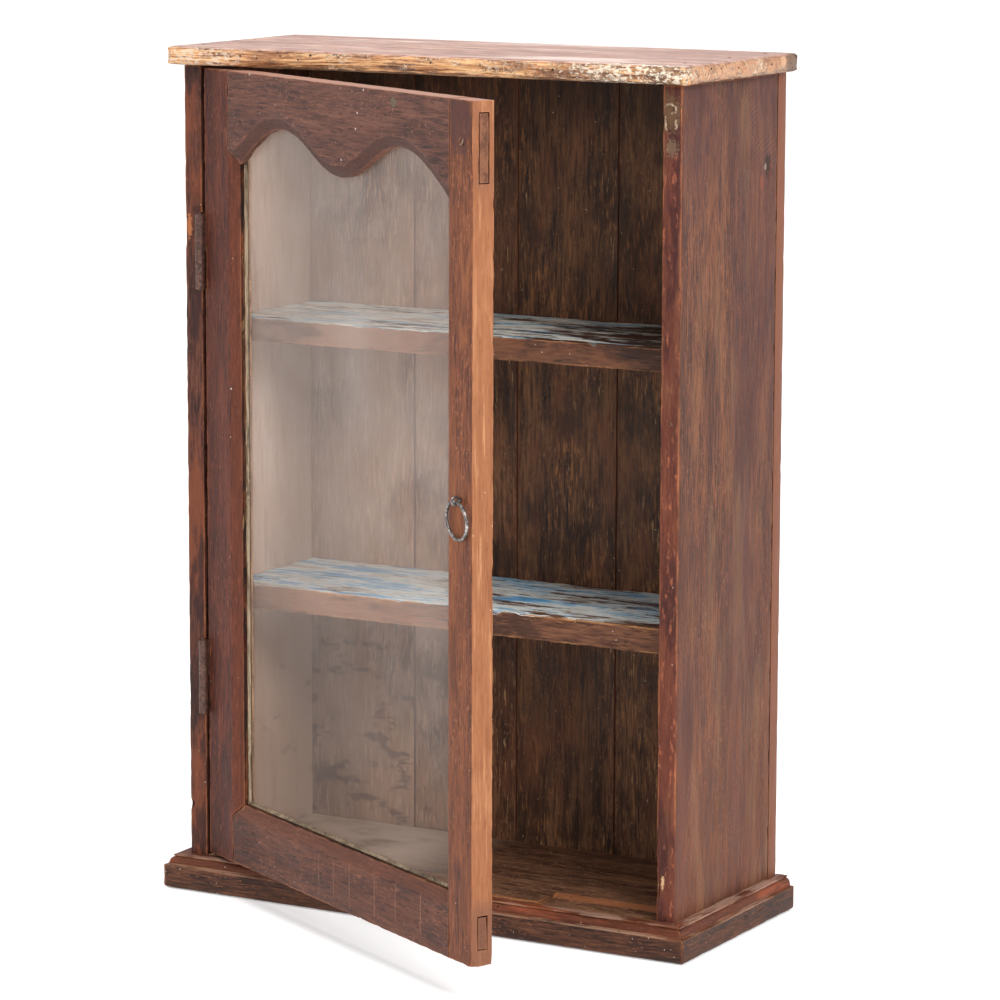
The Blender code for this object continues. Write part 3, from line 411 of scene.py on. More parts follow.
def aged(node, slot, material, steps, arris=0.0004, wear=0.0007, sag=0.00025, chips=(), seed=0.0, reach=0.0035,
         rim=(0.0009, 0.0022, 0.0045), body="cabinet"):
    """A copy of a CAD board whose arrises are worn and chipped and whose faces are slightly uneven.

    It only ever moves points into the wood, so it stays clear of what it touches.
    """
    source = NODES[node]
    bm = bmesh.new()
    bm.from_mesh(source.data)
    if body == "door":
        bm.transform(TO_DOOR)
    bmesh.ops.remove_doubles(bm, verts=bm.verts, dist=1e-6)
    bmesh.ops.dissolve_limit(bm, angle_limit=math.radians(0.5), verts=bm.verts, edges=bm.edges)
    points = []
    for edge in bm.edges:
        if len(edge.link_faces) == 2 and edge.calc_face_angle(0) > ARRIS_ANGLE:
            a, b = edge.verts[0].co, edge.verts[1].co
            count = max(1, int((b - a).length / ARRIS_STEP))
            points += [a.lerp(b, index / count) for index in range(count + 1)]
    near = kdtree.KDTree(len(points))
    for index, point in enumerate(points):
        near.insert(point, index)
    near.balance()
    low = Vector([min(v.co[axis] for v in bm.verts) for axis in range(3)])
    high = Vector([max(v.co[axis] for v in bm.verts) for axis in range(3)])
    for axis in range(3):
        places = spaced(low[axis], high[axis], steps[axis], rim)
        for centre, size, _ in chips:
            fine = size[axis] / 5
            places += [centre[axis] + fine * index for index in range(-6, 7)]
        places = sorted(place for place in places if low[axis] < place < high[axis])
        kept = []
        for place in places:
            if not kept or place - kept[-1] > 0.0005:
                kept.append(place)
        slice_faces(bm, list(bm.faces), axis, kept)
    bm.normal_update()
    shift = Vector((seed, seed * 1.7, seed * 0.3))
    moves = []
    for vert in bm.verts:
        away = near.find(vert.co)[2]
        spot = vert.co + shift
        edge = max(0.0, 1.0 - away / reach)
        edge = edge * edge * (3 - 2 * edge)
        bite = max(0.0, noise.fractal(spot * BITE_SCALE, 0.6, 2.1, 4) * 0.9 + 0.12)
        down = edge * (arris + wear * bite) + sag * (0.5 + 0.5 * noise.noise(spot * 28))
        for centre, size, deep in chips:
            offset = vert.co - Vector(centre)
            span = Vector([offset[axis] / size[axis] for axis in range(3)]).length
            span += 0.35 * noise.noise(spot * 160)
            if span < 1:
                down += deep * (1 - span) ** 0.6 * (0.8 + 0.4 * noise.noise(spot * 240))
        moves.append(-vert.normal * down)
    for vert, move in zip(bm.verts, moves):
        vert.co += move
    if body == "door":
        bm.transform(FROM_DOOR)
    mesh = bpy.data.meshes.new(node + "_worn")
    bm.to_mesh(mesh)
    bm.free()
    mesh.materials.append(material)
    mesh.shade_smooth()
    mesh.set_sharp_from_angle(angle=SHARP_ANGLE)
    obj = bpy.data.objects.new(node + "_worn", mesh)
    SCENE.collection.objects.link(obj)
    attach(obj, body)
    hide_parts(node)


def paint_node(node, material):
    slots = NODES[node].material_slots
    if not slots:
        NODES[node].data.materials.append(material)
    for slot in slots:
        slot.link = "OBJECT"
        slot.material = material


# ---- finishes
PALE = srgb(214, 202, 190)
NICK = 0.0009


def side_marks(s):
    """Purple-black stain down the rear and top of the right panel, and a darker front arris."""
    s.over(s.clouds(7.0, 0.46, 0.64, 0.25, (4, 4, 1)), srgb(78, 44, 42), 0.55)
    height = s.position("Z")
    s.over(s.range(height, 0.50, 0.05), srgb(122, 66, 38), 0.25)
    s.patch(s.range(height, 0.60, 0.72), (14.0, 0.40, 0.60, 0.8, (3, 9, 5)), srgb(74, 42, 42), 0.55)
    hub = s.vector("LENGTH", s.vector("MULTIPLY", s.vector("SUBTRACT", s.wavy, (0.0, 0.12, 0.53)), (0.0, 1.0, 1.0)))
    saw = s.math("SINE", s.math("MULTIPLY", hub, 1500.0))
    swept = s.gate(s.range(saw, 0.4, 1.0), s.clouds(16.0, 0.48, 0.62, 0.8, (7, 2, 2)))
    s.over(s.gate(swept, s.gate(s.facing("X", 0.6, 0.85), s.range(height, 0.60, 0.66))), srgb(150, 106, 84), 0.2, 0.2)
    front = s.front()
    s.over(front, srgb(98, 46, 34), 0.6)
    s.patch(front, (38.0, 0.46, 0.58, 0.3, (1, 6, 2)), srgb(50, 20, 22), 0.75)
    s.patch(front, (240.0, 0.58, 0.68, 0.3, (7, 7, 1)), srgb(186, 110, 76), 0.5)
    s.over(s.clouds(5.0, 0.50, 0.72, 1.0, (9, 1, 3)), srgb(70, 36, 34), 0.35)
    s.over(s.clouds(30.0, 0.50, 0.66, 0.2, (2, 2, 6)), srgb(118, 84, 58), 0.4)
    s.over(s.clouds(48.0, 0.50, 0.66, 0.12, (6, 2, 1)), srgb(54, 26, 22), 0.4)
    s.over(s.clouds(150.0, 0.52, 0.68, 0.08, (4, 1, 1)), srgb(140, 92, 66), 0.2)


def left_marks(s):
    front = s.front()
    s.patch(front, (24.0, 0.46, 0.58, 0.25, (7, 1, 1)), srgb(118, 62, 38), 0.7)
    s.patch(front, (52.0, 0.52, 0.60, 0.25, (2, 7, 1)), srgb(48, 24, 22), 0.8)
    # Painted light: the inner face is painted paler in places, as the light falling in on the hinge side.
    inner = s.facing("X", 0.5, 0.8)
    place = s.node("ShaderNodeSeparateXYZ", {"Vector": s.place})
    below_top = s.range(place.outputs["Z"], 0.71, 0.67)
    inner = s.gate(inner, s.gate(below_top, s.range(place.outputs["Y"], -0.090, -0.070)))
    s.patch(inner, (26.0, 0.12, 0.40, 0.4, (3, 3, 3)), srgb(204, 174, 154), 0.9)
    s.patch(inner, (120.0, 0.48, 0.66, 0.15, (9, 3, 3)), srgb(164, 130, 108), 0.5)
    s.over(s.gate(inner, s.range(place.outputs["Y"], -0.02, 0.06)), srgb(134, 112, 98), 0.65)
    low = s.range(place.outputs["Z"], 0.25, 0.20)
    s.over(s.gate(inner, low), srgb(156, 128, 108), 0.6)
    s.over(s.gate(inner, s.gate(low, s.clouds(20.0, 0.60, 0.70, 2.2, (5, 5, 1)))), srgb(92, 72, 62), 0.5)


def back_marks(s):
    """Red-brown boards with fine golden scrapes, painted paler towards the left side as painted light and darker
    under the top board as painted shade; outer edges like the sides.
    """
    across = s.position("X")
    s.over(s.clouds(24.0, 0.46, 0.64, 0.3, (9, 3, 2)), srgb(106, 62, 40), 0.45)
    s.over(s.clouds(10.0, 0.50, 0.66, 0.8, (2, 7, 6)), srgb(28, 19, 15), 0.65)
    golden = s.gate(s.clouds(430.0, 0.53, 0.64, 0.12, (5, 1, 7), 2.0), s.clouds(17.0, 0.44, 0.62, 0.5, (6, 5, 4)))
    s.over(golden, srgb(158, 104, 64), 0.55, 0.4)
    pale = s.gate(s.clouds(560.0, 0.60, 0.68, 0.10, (3, 9, 1), 2.0), s.clouds(22.0, 0.50, 0.64, 0.5, (1, 8, 4)))
    s.over(pale, srgb(200, 156, 108), 0.55, 0.3)
    height = s.position("Z")
    # Painted shade: the backs darken high up, just under the top board.
    s.over(s.range(height, 0.66, 0.72), srgb(30, 20, 15), 0.5)
    inner = s.gate(s.front(), s.range(height, 0.71, 0.67))
    # Painted light: front faces towards the left side, below the top board, are painted paler, as the light falling
    # in from the right; greyer near the left corner and darker in patches low down.
    painted_light_left = s.gate(s.range(across, -0.03, -0.12), inner)
    s.patch(painted_light_left, (13.0, 0.30, 0.58, 0.7, (4, 6, 1)), srgb(160, 126, 104), 0.8)
    s.patch(painted_light_left, (460.0, 0.50, 0.66, 0.12, (7, 2, 5)), srgb(196, 162, 134), 0.4)
    s.over(s.gate(painted_light_left, s.range(across, -0.15, -0.20)), srgb(110, 94, 84), 0.35)
    s.patch(s.gate(painted_light_left, s.range(height, 0.24, 0.19)), (22.0, 0.52, 0.62, 2.2, (1, 5, 9)), srgb(80, 58, 48), 0.7)
    s.over(s.facing("X", 0.6, 0.85), srgb(122, 74, 54), 0.85)
    s.over(s.facing("X", 0.6, 0.85, -1.0), srgb(110, 66, 48), 0.85)


def floor_marks(s):
    """Paler on the hinge side, partly dust and partly painted light falling in through the opening; raw wood on the
    worn front step.
    """
    across = s.position("X")
    # Paler on the hinge side: dust, and painted light as well.
    dust = s.gate(s.range(across, 0.0, -0.09), s.facing("Z", 0.9, 0.99))
    s.patch(dust, (20.0, 0.22, 0.55, 0.6, (2, 2, 2)), srgb(186, 162, 144), 0.85)
    s.over(s.gate(s.front(0.1, 0.25), s.facing("Z", 0.9, 0.99)), srgb(150, 92, 58), 0.75)


def board_top():
    """Stained, waxed top with ochre edges that keep crusts of old paint."""
    s = Wood("looks_top", "X", 0.17)
    s.grain(trio(112, 66, 52, 160, 112, 96, 206, 170, 152), 45.0, 520.0)
    s.over(s.clouds(9.0, 0.44, 0.62, 0.4), srgb(150, 110, 98), 0.5)
    s.over(s.streaks(70.0, 0.54, 0.66), srgb(92, 50, 42), 0.5)
    # The top face's pale grain tone and these near-white streaks are partly whitish scratches, partly painted sheen.
    s.over(s.clouds(30.0, 0.52, 0.66, 0.14, (3, 1, 1)), srgb(236, 216, 206), 0.6)
    rim = s.range(s.facing("Z", 0.97, 0.72), 0.0, 1.0)
    grain = s.noise(s.scaled(s.wavy, stretched("X", 0.05), (2, 9, 4)), 420.0, 4.0, 0.7)
    ochre = s.ramp(grain, [(0.38, srgb(92, 54, 32)), (0.47, srgb(178, 120, 76)), (0.58, srgb(226, 176, 124))])
    s.over(rim, ochre)
    end = s.facing("X", 0.6, 0.9)
    s.over(end, srgb(172, 124, 90), 0.8)
    s.patch(end, (60.0, 0.48, 0.62, 1.0, (4, 4, 4)), srgb(200, 160, 128), 0.6)
    s.patch(end, (90.0, 0.56, 0.66, 1.0, (1, 4, 7)), srgb(116, 74, 52), 0.6)
    crust = s.gate(rim, s.clouds(34.0, 0.50, 0.60, 0.35, (8, 2, 2), 7.0, 0.75))
    s.patch(crust, (420.0, 0.48, 0.56, 0.7, (1, 1, 8), 4.0, 0.75), srgb(228, 210, 186), 0.7, 0.4)
    s.patch(crust, (460.0, 0.52, 0.60, 0.7, (4, 6, 1), 4.0, 0.75), srgb(88, 62, 42), 0.8, -0.5)
    s.patch(rim, (70.0, 0.54, 0.66, 0.2, (6, 6, 3)), srgb(122, 72, 40), 0.7)
    s.patch(rim, (260.0, 0.58, 0.66, 0.2, (2, 6, 8)), srgb(70, 42, 28), 0.5, -0.6)
    # Darker patches on the underside and lower arris: partly dark stain, partly painted shade under the top.
    s.patch(s.facing("Z", 0.25, 0.6, -1.0), (30.0, 0.36, 0.54, 0.3, (5, 5, 2)), srgb(66, 40, 26), 0.8)
    upper = s.facing("Z", 0.3, 0.6)
    s.over(s.gate(upper, s.gate(rim, s.clouds(40.0, 0.48, 0.60, 0.2, (9, 1, 2)))), srgb(84, 46, 34), 0.65)
    s.over(s.blob(s.place, (0.236, -0.112, 0.744), (0.022, 0.010, 0.009), 0.5, 200.0), srgb(74, 52, 36), 0.6, -0.5)
    for centre, size, patches, tone, strength, rise in (
        ((0.205, -0.112, 0.744), (0.060, 0.012, 0.010), (380.0, 0.48, 0.56, 0.6), srgb(236, 222, 200), 0.8, 0.5),
        ((-0.215, -0.112, 0.744), (0.040, 0.012, 0.009), (400.0, 0.47, 0.55, 0.6), srgb(206, 186, 164), 0.7, 0.4),
        ((0.150, -0.112, 0.740), (0.040, 0.012, 0.006), (300.0, 0.46, 0.54, 0.5), srgb(96, 60, 38), 0.7, -0.4),
    ):
        s.patch(s.blob(s.place, centre, size, 0.5, 200.0), patches, tone, strength, rise)
    s.over(s.blob(s.place, (0.257, 0.088, 0.744), (0.006, 0.018, 0.016), 0.25), srgb(92, 66, 48), 0.85)
    s.over(s.gate(rim, s.dots(190.0, 0.2, 0.10)), srgb(60, 40, 28), 0.9, -1.0)
    return s.done((0.34, 0.55), 0.0006, 0.5)


SIDE = board("looks_side", "Z", trio(50, 24, 16, 88, 49, 33, 124, 78, 53), 0.0, worn=srgb(190, 116, 72),
             wear=0.8, extra=side_marks, specks=0.015, dark=0.45, light=0.25, spots=(
                 ((0.244, 0.063, 0.659), (0.004, 0.006, 0.008), srgb(46, 30, 26), 0.85, 0.5),
                 ((0.244, 0.060, 0.657), (0.004, 0.002, 0.003), srgb(150, 130, 112), 0.7, 0.5),
                 ((0.244, 0.052, 0.644), (0.004, 0.004, 0.007), srgb(120, 66, 46), 0.7, 0.5),
                 ((0.2345, -0.098, 0.712), (0.008, 0.004, 0.015), srgb(96, 72, 50), 0.8, 0.7),
                 ((0.2345, -0.098, 0.684), (0.006, 0.004, 0.007), srgb(112, 92, 72), 0.6, 0.8),
                 ((0.2262, -0.098, 0.061), (0.0014, 0.004, 0.0060), srgb(204, 166, 124), 0.75, 0.6),
                 ((0.2320, -0.098, 0.064), (0.0014, 0.004, 0.0060), srgb(204, 166, 124), 0.75, 0.6)))
SIDE_LEFT = board("looks_side_left", "Z", trio(40, 19, 16, 68, 36, 28, 98, 58, 44), 0.31,
                  worn=srgb(180, 108, 64), wear=0.6, extra=left_marks, specks=0.03, spots=(
                      ((-0.240, -0.098, 0.594), (0.003, 0.005, 0.010), srgb(176, 108, 66), 0.75, 0.7),))
BACKS = [
    board(f"looks_back_{index + 1}", "Z", tones, 0.21 * (index + 1), bands=50.0, fibre=480.0, contrast=0.8,
          dark=0.5, light=0.2, worn=srgb(104, 66, 42), wear=0.3, extra=back_marks, specks=0.008, rough=(0.45, 0.7))
    for index, tones in enumerate((
        trio(40, 24, 16, 78, 50, 34, 118, 82, 56),
        trio(38, 23, 15, 74, 46, 31, 112, 76, 52),
        trio(38, 22, 15, 74, 47, 32, 112, 78, 52),
        trio(40, 24, 16, 78, 50, 34, 114, 80, 54),
    ))
]
TOP = board_top()
FLOOR = board("looks_floor", "X", trio(50, 28, 18, 92, 60, 42, 132, 94, 68), 0.4, worn=srgb(206, 136, 84),
              wear=0.9, specks=0.06, extra=floor_marks)
BASE = board("looks_base", "X", trio(54, 34, 22, 92, 62, 42, 126, 90, 62), 0.5)


def moulding(name, axis, shift):
    """Red-brown ovolo over a browner face, with a pale line along the fillet."""

    def marks(s):
        height = s.position("Z")
        ovolo = s.range(height, 0.0210, 0.0218)
        s.over(ovolo, srgb(98, 46, 27), 0.55)
        s.patch(ovolo, (60.0, 0.52, 0.66, 0.2, (1, 5, 5)), srgb(146, 72, 42), 0.6)
        line = s.gate(s.range(height, 0.0200, 0.0207), s.range(height, 0.0226, 0.0218))
        s.patch(line, (50.0, 0.42, 0.55, 0.2, (3, 3, 5)), srgb(176, 140, 116), 0.55)
        crest = s.range(height, 0.0283, 0.0291)
        s.patch(crest, (70.0, 0.44, 0.56, 0.2, (8, 3, 5)), srgb(168, 136, 118), 0.6)
        s.patch(s.range(height, 0.010, 0.002), (28.0, 0.45, 0.6, 0.3, (8, 8, 5)), srgb(58, 36, 26), 0.6)

    return board(name, axis, trio(38, 20, 13, 66, 37, 25, 98, 61, 42), shift, worn=srgb(146, 92, 62),
                 wear=0.75, extra=marks, specks=0.05)


MOULDING = moulding("looks_moulding", "X", 0.62)
MOULDING_SIDE = moulding("looks_moulding_side", "Y", 0.72)
CHAMFER = srgb(98, 50, 29)


def door_nicks(places):
    """Small pale nicks in the face of the door."""
    return tuple(((x, -0.098, z), (NICK, 0.003, NICK), PALE, 0.8, 0.5) for x, z in places)


def sight_shadow(s, axis):
    """Painted shadow: the lip round the glass is painted near black, as the shaded gap at the rebate, with lighter
    patches.
    """
    s.over(s.facing(axis, 0.8, 0.95), srgb(24, 15, 12), 0.92)
    s.patch(s.facing(axis, 0.8, 0.95), (150.0, 0.60, 0.66, 0.2, (2, 2, 2)), srgb(150, 116, 78), 0.7)


def saw_marks(s):
    """Pale scratches across the bottom rail."""
    for across, strength in ((-0.0266, 0.28), (-0.0015, 0.245), (0.0259, 0.385), (0.0681, 0.35), (0.1029, 0.315),
                             (0.1436, 0.42)):
        line = s.blob(s.place, (across, -0.098, 0.058), (0.0007, 0.003, 0.020), 0.5)
        s.over(line, srgb(158, 112, 88), strength, -0.5)


def top_edge(s):
    """Upward faces of the door, painted paler."""
    s.over(s.facing("Z", 0.6, 0.9), srgb(178, 132, 112), 0.7)


def free_marks(s):
    """Bright raw outer edge, greyed by hands and damp near the foot."""
    edge = s.facing("X", 0.6, 0.9)
    s.over(edge, srgb(152, 98, 63), 0.82)
    high = s.range(s.position("Z"), 0.62, 0.68)
    s.over(s.gate(s.gate(edge, high), s.clouds(26.0, 0.34, 0.56, 0.4, (4, 6, 2))), srgb(122, 78, 58), 0.75)
    s.patch(edge, (330.0, 0.48, 0.62, 0.12, (1, 2, 2)), srgb(134, 80, 50), 0.6)
    s.patch(edge, (16.0, 0.55, 0.70, 0.3, (4, 2, 2)), srgb(178, 124, 86), 0.5)
    s.patch(edge, (110.0, 0.48, 0.66, 0.04, (2, 5, 5)), srgb(122, 72, 44), 0.4)
    s.patch(edge, (200.0, 0.54, 0.66, 0.05, (6, 5, 1)), srgb(206, 152, 108), 0.4)
    low = s.range(s.position("Z"), 0.094, 0.076)
    s.over(s.gate(edge, low), srgb(112, 72, 54), 0.75)
    s.over(s.gate(s.facing("X", 0.3, 0.6), s.gate(s.front(0.3, 0.6), s.clouds(40.0, 0.48, 0.6))),
           srgb(214, 120, 66), 0.8)
    stain = s.blob(s.place, (0.205, -0.098, 0.715), (0.016, 0.005, 0.026), 0.4)
    s.over(s.gate(s.front(0.8, 0.95), stain), srgb(70, 38, 38), 0.6)
    top_edge(s)


def rail_marks(s):
    top_edge(s)
    end = s.facing("X", 0.6, 0.9)
    s.over(end, srgb(124, 80, 56), 0.8)
    s.patch(end, (60.0, 0.42, 0.58, 1.0, (6, 6, 1)), srgb(72, 42, 30), 0.7)


STILE = board("looks_stile", "Z", trio(46, 19, 13, 78, 36, 26, 106, 57, 41), 0.83, True,
              contrast=0.75, chamfer=CHAMFER, specks=0.008, worn=srgb(172, 104, 66), wear=0.6,
              extra=lambda s: (top_edge(s), sight_shadow(s, "X")),
              spots=door_nicks(((-0.1805, 0.4573), (-0.1769, 0.0929))))
FREE = board("looks_free_stile", "Z", trio(64, 29, 16, 106, 56, 34, 136, 82, 52), 0.93, True,
             contrast=0.75, specks=0.004, chamfer=srgb(120, 70, 48), worn=srgb(186, 124, 80), wear=0.35,
             extra=free_marks, dark=0.3)
TOP_RAIL = board("looks_top_rail", "X", trio(50, 27, 22, 88, 53, 43, 118, 79, 65), 1.03, True,
                 contrast=0.65, specks=0.008, chamfer=srgb(104, 62, 48), worn=srgb(160, 108, 80), wear=0.5,
                 extra=rail_marks, spots=(
                     *door_nicks(((0.0527, 0.7316), (0.0428, 0.7122), (0.0400, 0.6990), (0.0161, 0.6718),
                                  (-0.142, 0.7330))),
                     ((0.101, -0.098, 0.7245), (0.005, 0.003, 0.004), srgb(96, 84, 66), 0.9, 0.3)))
BOTTOM_RAIL = board("looks_bottom_rail", "X", trio(48, 24, 18, 82, 47, 36, 112, 71, 55), 1.13, True,
                    contrast=0.65, specks=0.008, chamfer=srgb(104, 62, 46), worn=srgb(172, 112, 74), wear=0.6,
                    extra=lambda s: (saw_marks(s), sight_shadow(s, "Z"),
                                     s.over(s.facing("X", 0.6, 0.9), srgb(112, 72, 52), 0.8)))
BEAD = board("looks_bead", "Z", trio(96, 62, 40, 146, 104, 74, 184, 142, 106), 1.2, True,
             worn=srgb(210, 166, 120))
SHELF_LOWER = painted("looks_shelf_lower", "X", trio(50, 29, 21, 90, 56, 40, 122, 82, 60),
                      (srgb(88, 148, 192), srgb(146, 184, 206), srgb(220, 224, 220), srgb(168, 160, 150)),
                      0.1, 0.464, (0.10, 0.24), srgb(206, 148, 92))
# Painted shade: the upper shelf's stained wood and worn front are a darker copy of the lower shelf's, to offset the
# stronger light on it.
SHELF_UPPER = painted("looks_shelf_upper", "X", trio(34, 20, 16, 61, 39, 29, 88, 59, 44),
                      (srgb(104, 156, 190), srgb(150, 180, 192), srgb(228, 228, 220), srgb(168, 156, 142)),
                      0.7, 0.482, (0.02, 0.20), srgb(164, 108, 72))
IRON = metal("looks_iron", trio(28, 18, 16, 58, 36, 30, 128, 92, 72), srgb(76, 42, 32), 0.75, 380.0,
             metallic=0.4, depth=0.00010)
SCREW = metal("looks_screw", trio(30, 24, 20, 70, 56, 46, 150, 130, 110), srgb(90, 52, 32), 0.5)
RING = metal("looks_ring", trio(34, 30, 30, 96, 90, 88, 208, 202, 198), srgb(60, 42, 34), 0.25, 200.0,
             rough=(0.12, 0.34))
HANGER = metal("looks_hanger", trio(90, 88, 84, 140, 138, 132, 190, 188, 182), srgb(110, 70, 44), 0.3)


def glass_material():
    """Old pane under a warm film of dust, thicker towards the top; clear light passes between the grains."""
    s = Shader("looks_glass")
    haze = s.noise(s.coords, 9.0, 5.0, 0.6)
    smear = s.noise(s.scaled(s.coords, (1, 1, 0.15)), 60.0, 4.0, 0.6)
    dust = s.math("MULTIPLY_ADD", smear, 0.4, s.math("MULTIPLY", haze, 0.6))
    height = s.node("ShaderNodeSeparateXYZ", {"Vector": s.coords}).outputs["Z"]
    film = s.math("MULTIPLY", s.range(dust, 0.30, 0.70, 0.8, 1.2), s.range(height, 0.10, 0.46, 0.30, 1.05))
    grains = s.range(s.noise(s.coords, 900.0, 3.0, 0.7), 0.62, 0.72)
    warm = s.ramp(haze, [(0.35, srgb(228, 206, 194)), (0.65, srgb(242, 226, 216))])
    s.feed(s.bsdf.inputs["Base Color"], warm)
    s.feed(s.bsdf.inputs["Alpha"], s.math("MULTIPLY_ADD", grains, 0.06, s.math("MULTIPLY", film, 0.105)))
    s.bsdf.inputs["Roughness"].default_value = 0.06
    s.bsdf.inputs["IOR"].default_value = 2.2
    return s.material


GLASS = glass_material()

# ---- pieces
FRONT_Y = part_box("side_panel_right")[0].y
SIDE_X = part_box("side_panel_right")[1].x
BACK_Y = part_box("back_plank_1")[1].y
TOP_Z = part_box("top_board")[1].z
UNDER_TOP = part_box("top_board")[0].z
FLOOR_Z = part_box("floor_board")[1].z
SHELF_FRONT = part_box("shelf_lower")[0].y
TOP_END = 0.257  # right end of the top board
TOP_FRONT = -0.113
TOP_MIDDLE = 0.744  # half-way up the top board's edge
MOULDING_OUT = 0.0175  # how far the moulding stands out from the case

aged("side_panel_left", "side_wood", SIDE_LEFT, (0.006, 0.006, 0.005), seed=1.0, wear=0.0006, chips=(
    ((-SIDE_X, FRONT_Y, 0.075), (0.006, 0.006, 0.006), 0.0022),
    ((-SIDE_X + 0.018, FRONT_Y, 0.61), (0.004, 0.004, 0.012), 0.0012),
    ((-SIDE_X, FRONT_Y, 0.594), (0.004, 0.004, 0.018), 0.0012)))
aged("side_panel_right", "side_wood", SIDE, (0.006, 0.005, 0.004), seed=2.0, wear=0.0007, chips=(
    ((0.226, FRONT_Y, 0.061), (0.004, 0.005, 0.012), 0.0026),
    ((0.2335, FRONT_Y, 0.066), (0.0035, 0.005, 0.012), 0.0020),
    ((SIDE_X, FRONT_Y, 0.706), (0.005, 0.005, 0.016), 0.0016),
    ((SIDE_X, 0.062, 0.655), (0.004, 0.008, 0.012), 0.0014),
    ((SIDE_X, FRONT_Y, 0.556), (0.004, 0.004, 0.014), 0.0014)))
for index in range(4):
    aged(f"back_plank_{index + 1}", "back_wood", BACKS[index], (0.008, 0.008, 0.008), seed=3.0 + index,
         wear=0.0004, sag=0.0)
aged("top_board", "top_wood", TOP, (0.004, 0.005, 0.005), seed=8.0, arris=0.0009, wear=0.0016, reach=0.005,
     sag=0.0004, chips=(
         ((TOP_END, 0.098, TOP_MIDDLE), (0.006, 0.014, 0.012), 0.0030),
         ((TOP_END, TOP_FRONT, TOP_MIDDLE), (0.008, 0.008, 0.012), 0.0022),
         ((0.190, TOP_FRONT, TOP_Z), (0.022, 0.004, 0.005), 0.0016),
         ((-0.254, TOP_FRONT, TOP_MIDDLE), (0.006, 0.006, 0.010), 0.0018),
         ((-0.130, TOP_FRONT, TOP_Z), (0.014, 0.004, 0.004), 0.0014)))
aged("floor_board", "floor_wood", FLOOR, (0.006, 0.005, 0.005), seed=9.0, chips=(
    ((0.222, FRONT_Y, FLOOR_Z - 0.003), (0.006, 0.006, 0.004), 0.0020),))
aged("base_board", "base_wood", BASE, (0.012, 0.012, 0.006), seed=10.0)
LOWER_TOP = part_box("shelf_lower")[1].z
UPPER_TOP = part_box("shelf_upper")[1].z
aged("shelf_lower", "shelf_lower_paint", SHELF_LOWER, (0.004, 0.005, 0.004), seed=11.0, wear=0.0018,
     sag=0.0004, chips=tuple(
         ((x, SHELF_FRONT, LOWER_TOP), (size, 0.006, 0.005), deep)
         for x, size, deep in ((0.045, 0.012, 0.0028), (0.082, 0.018, 0.0022), (0.118, 0.010, 0.0018),
                               (-0.06, 0.014, 0.0020), (0.185, 0.009, 0.0014))))
aged("shelf_upper", "shelf_upper_paint", SHELF_UPPER, (0.004, 0.005, 0.004), seed=12.0, wear=0.0014,
     sag=0.0004, chips=tuple(
         ((x, SHELF_FRONT, UPPER_TOP), (size, 0.005, 0.004), deep)
         for x, size, deep in ((0.06, 0.010, 0.0014), (0.14, 0.014, 0.0018), (-0.09, 0.012, 0.0016))))
FINE_PROFILE = {"arris": 0.0001, "wear": 0.0007, "reach": 0.002, "sag": 0.0002}
aged("base_moulding_front", "moulding_wood", MOULDING, (0.004, 0.01, 0.01), seed=13.0, chips=(
    ((0.190, FRONT_Y - 0.012, 0.029), (0.012, 0.005, 0.003), 0.0014),
    ((0.120, FRONT_Y - MOULDING_OUT, 0.020), (0.010, 0.003, 0.004), 0.0012),
    ((-0.215, FRONT_Y - MOULDING_OUT, 0.019), (0.012, 0.003, 0.004), 0.0012)), **FINE_PROFILE)
for side, seed in (("left", 14.0), ("right", 15.0)):
    aged(f"base_moulding_{side}", "moulding_wood", MOULDING_SIDE, (0.01, 0.004, 0.01), seed=seed,
         **FINE_PROFILE)
for node, slot, material, steps, seed, chips in (
    ("door_stile_hinge", "hinge_stile_wood", STILE, (0.006, 0.008, 0.004), 16.0, ()),
    ("door_stile_free", "free_stile_wood", FREE, (0.006, 0.005, 0.004), 17.0, (
        ((0.2248, -0.098, 0.700), (0.004, 0.004, 0.022), 0.0012),
        ((0.208, -0.098, 0.7002), (0.004, 0.003, 0.003), 0.0016),
        ((0.2248, -0.098, 0.0345), (0.005, 0.005, 0.005), 0.0014))),
    ("door_rail_top", "top_rail_wood", TOP_RAIL, (0.004, 0.008, 0.006), 18.0, (
        ((0.101, -0.098, 0.7245), (0.005, 0.003, 0.004), 0.0008),)),
    ("door_rail_bottom", "bottom_rail_wood", BOTTOM_RAIL, (0.004, 0.008, 0.006), 19.0, ()),
):
    aged(node, slot, material, steps, seed=seed, body="door", arris=0.0003, wear=0.0008, reach=0.0025,
         rim=(0.0008, 0.002), chips=chips)
for side in ("left", "right", "top", "bottom"):
    paint_node(f"glazing_bead_{side}", BEAD)
paint_node("glass_pane", GLASS)
for hinge in ("upper", "lower"):
    for part in ("frame_leaf", "door_leaf", "pin"):
        paint_node(f"hinge_{hinge}_{part}", IRON)
    for leaf in ("frame", "door"):
        for mark in ("low", "high"):
            paint_node(f"hinge_{hinge}_screw_{leaf}_{mark}", SCREW)
paint_node("ring_pull", RING)
paint_node("ring_eye", RING)
for side in ("left", "right"):
    paint_node(f"hanger_plate_{side}", HANGER)
    for mark in ("low", "high"):
        paint_node(f"hanger_screw_{side}_{mark}", SCREW)


def add_mesh(name, bm, body, material):
    if body == "door":
        bm.transform(FROM_DOOR)
    mesh = bpy.data.meshes.new(name)
    bmesh.ops.recalc_face_normals(bm, faces=bm.faces)
    bm.to_mesh(mesh)
    bm.free()
    mesh.materials.append(material)
    mesh.shade_smooth()
    obj = bpy.data.objects.new(name, mesh)
    SCENE.collection.objects.link(obj)
    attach(obj, body)


def close_rings(bm, rings):
    """Skins a row of rings of points and caps both ends."""
    count = len(rings[0])
    for first, second in zip(rings, rings[1:]):
        for index in range(count):
            after = (index + 1) % count
            bm.faces.new((first[index], first[after], second[after], second[index]))
    bm.faces.new(rings[-1])
    bm.faces.new(reversed(rings[0]))


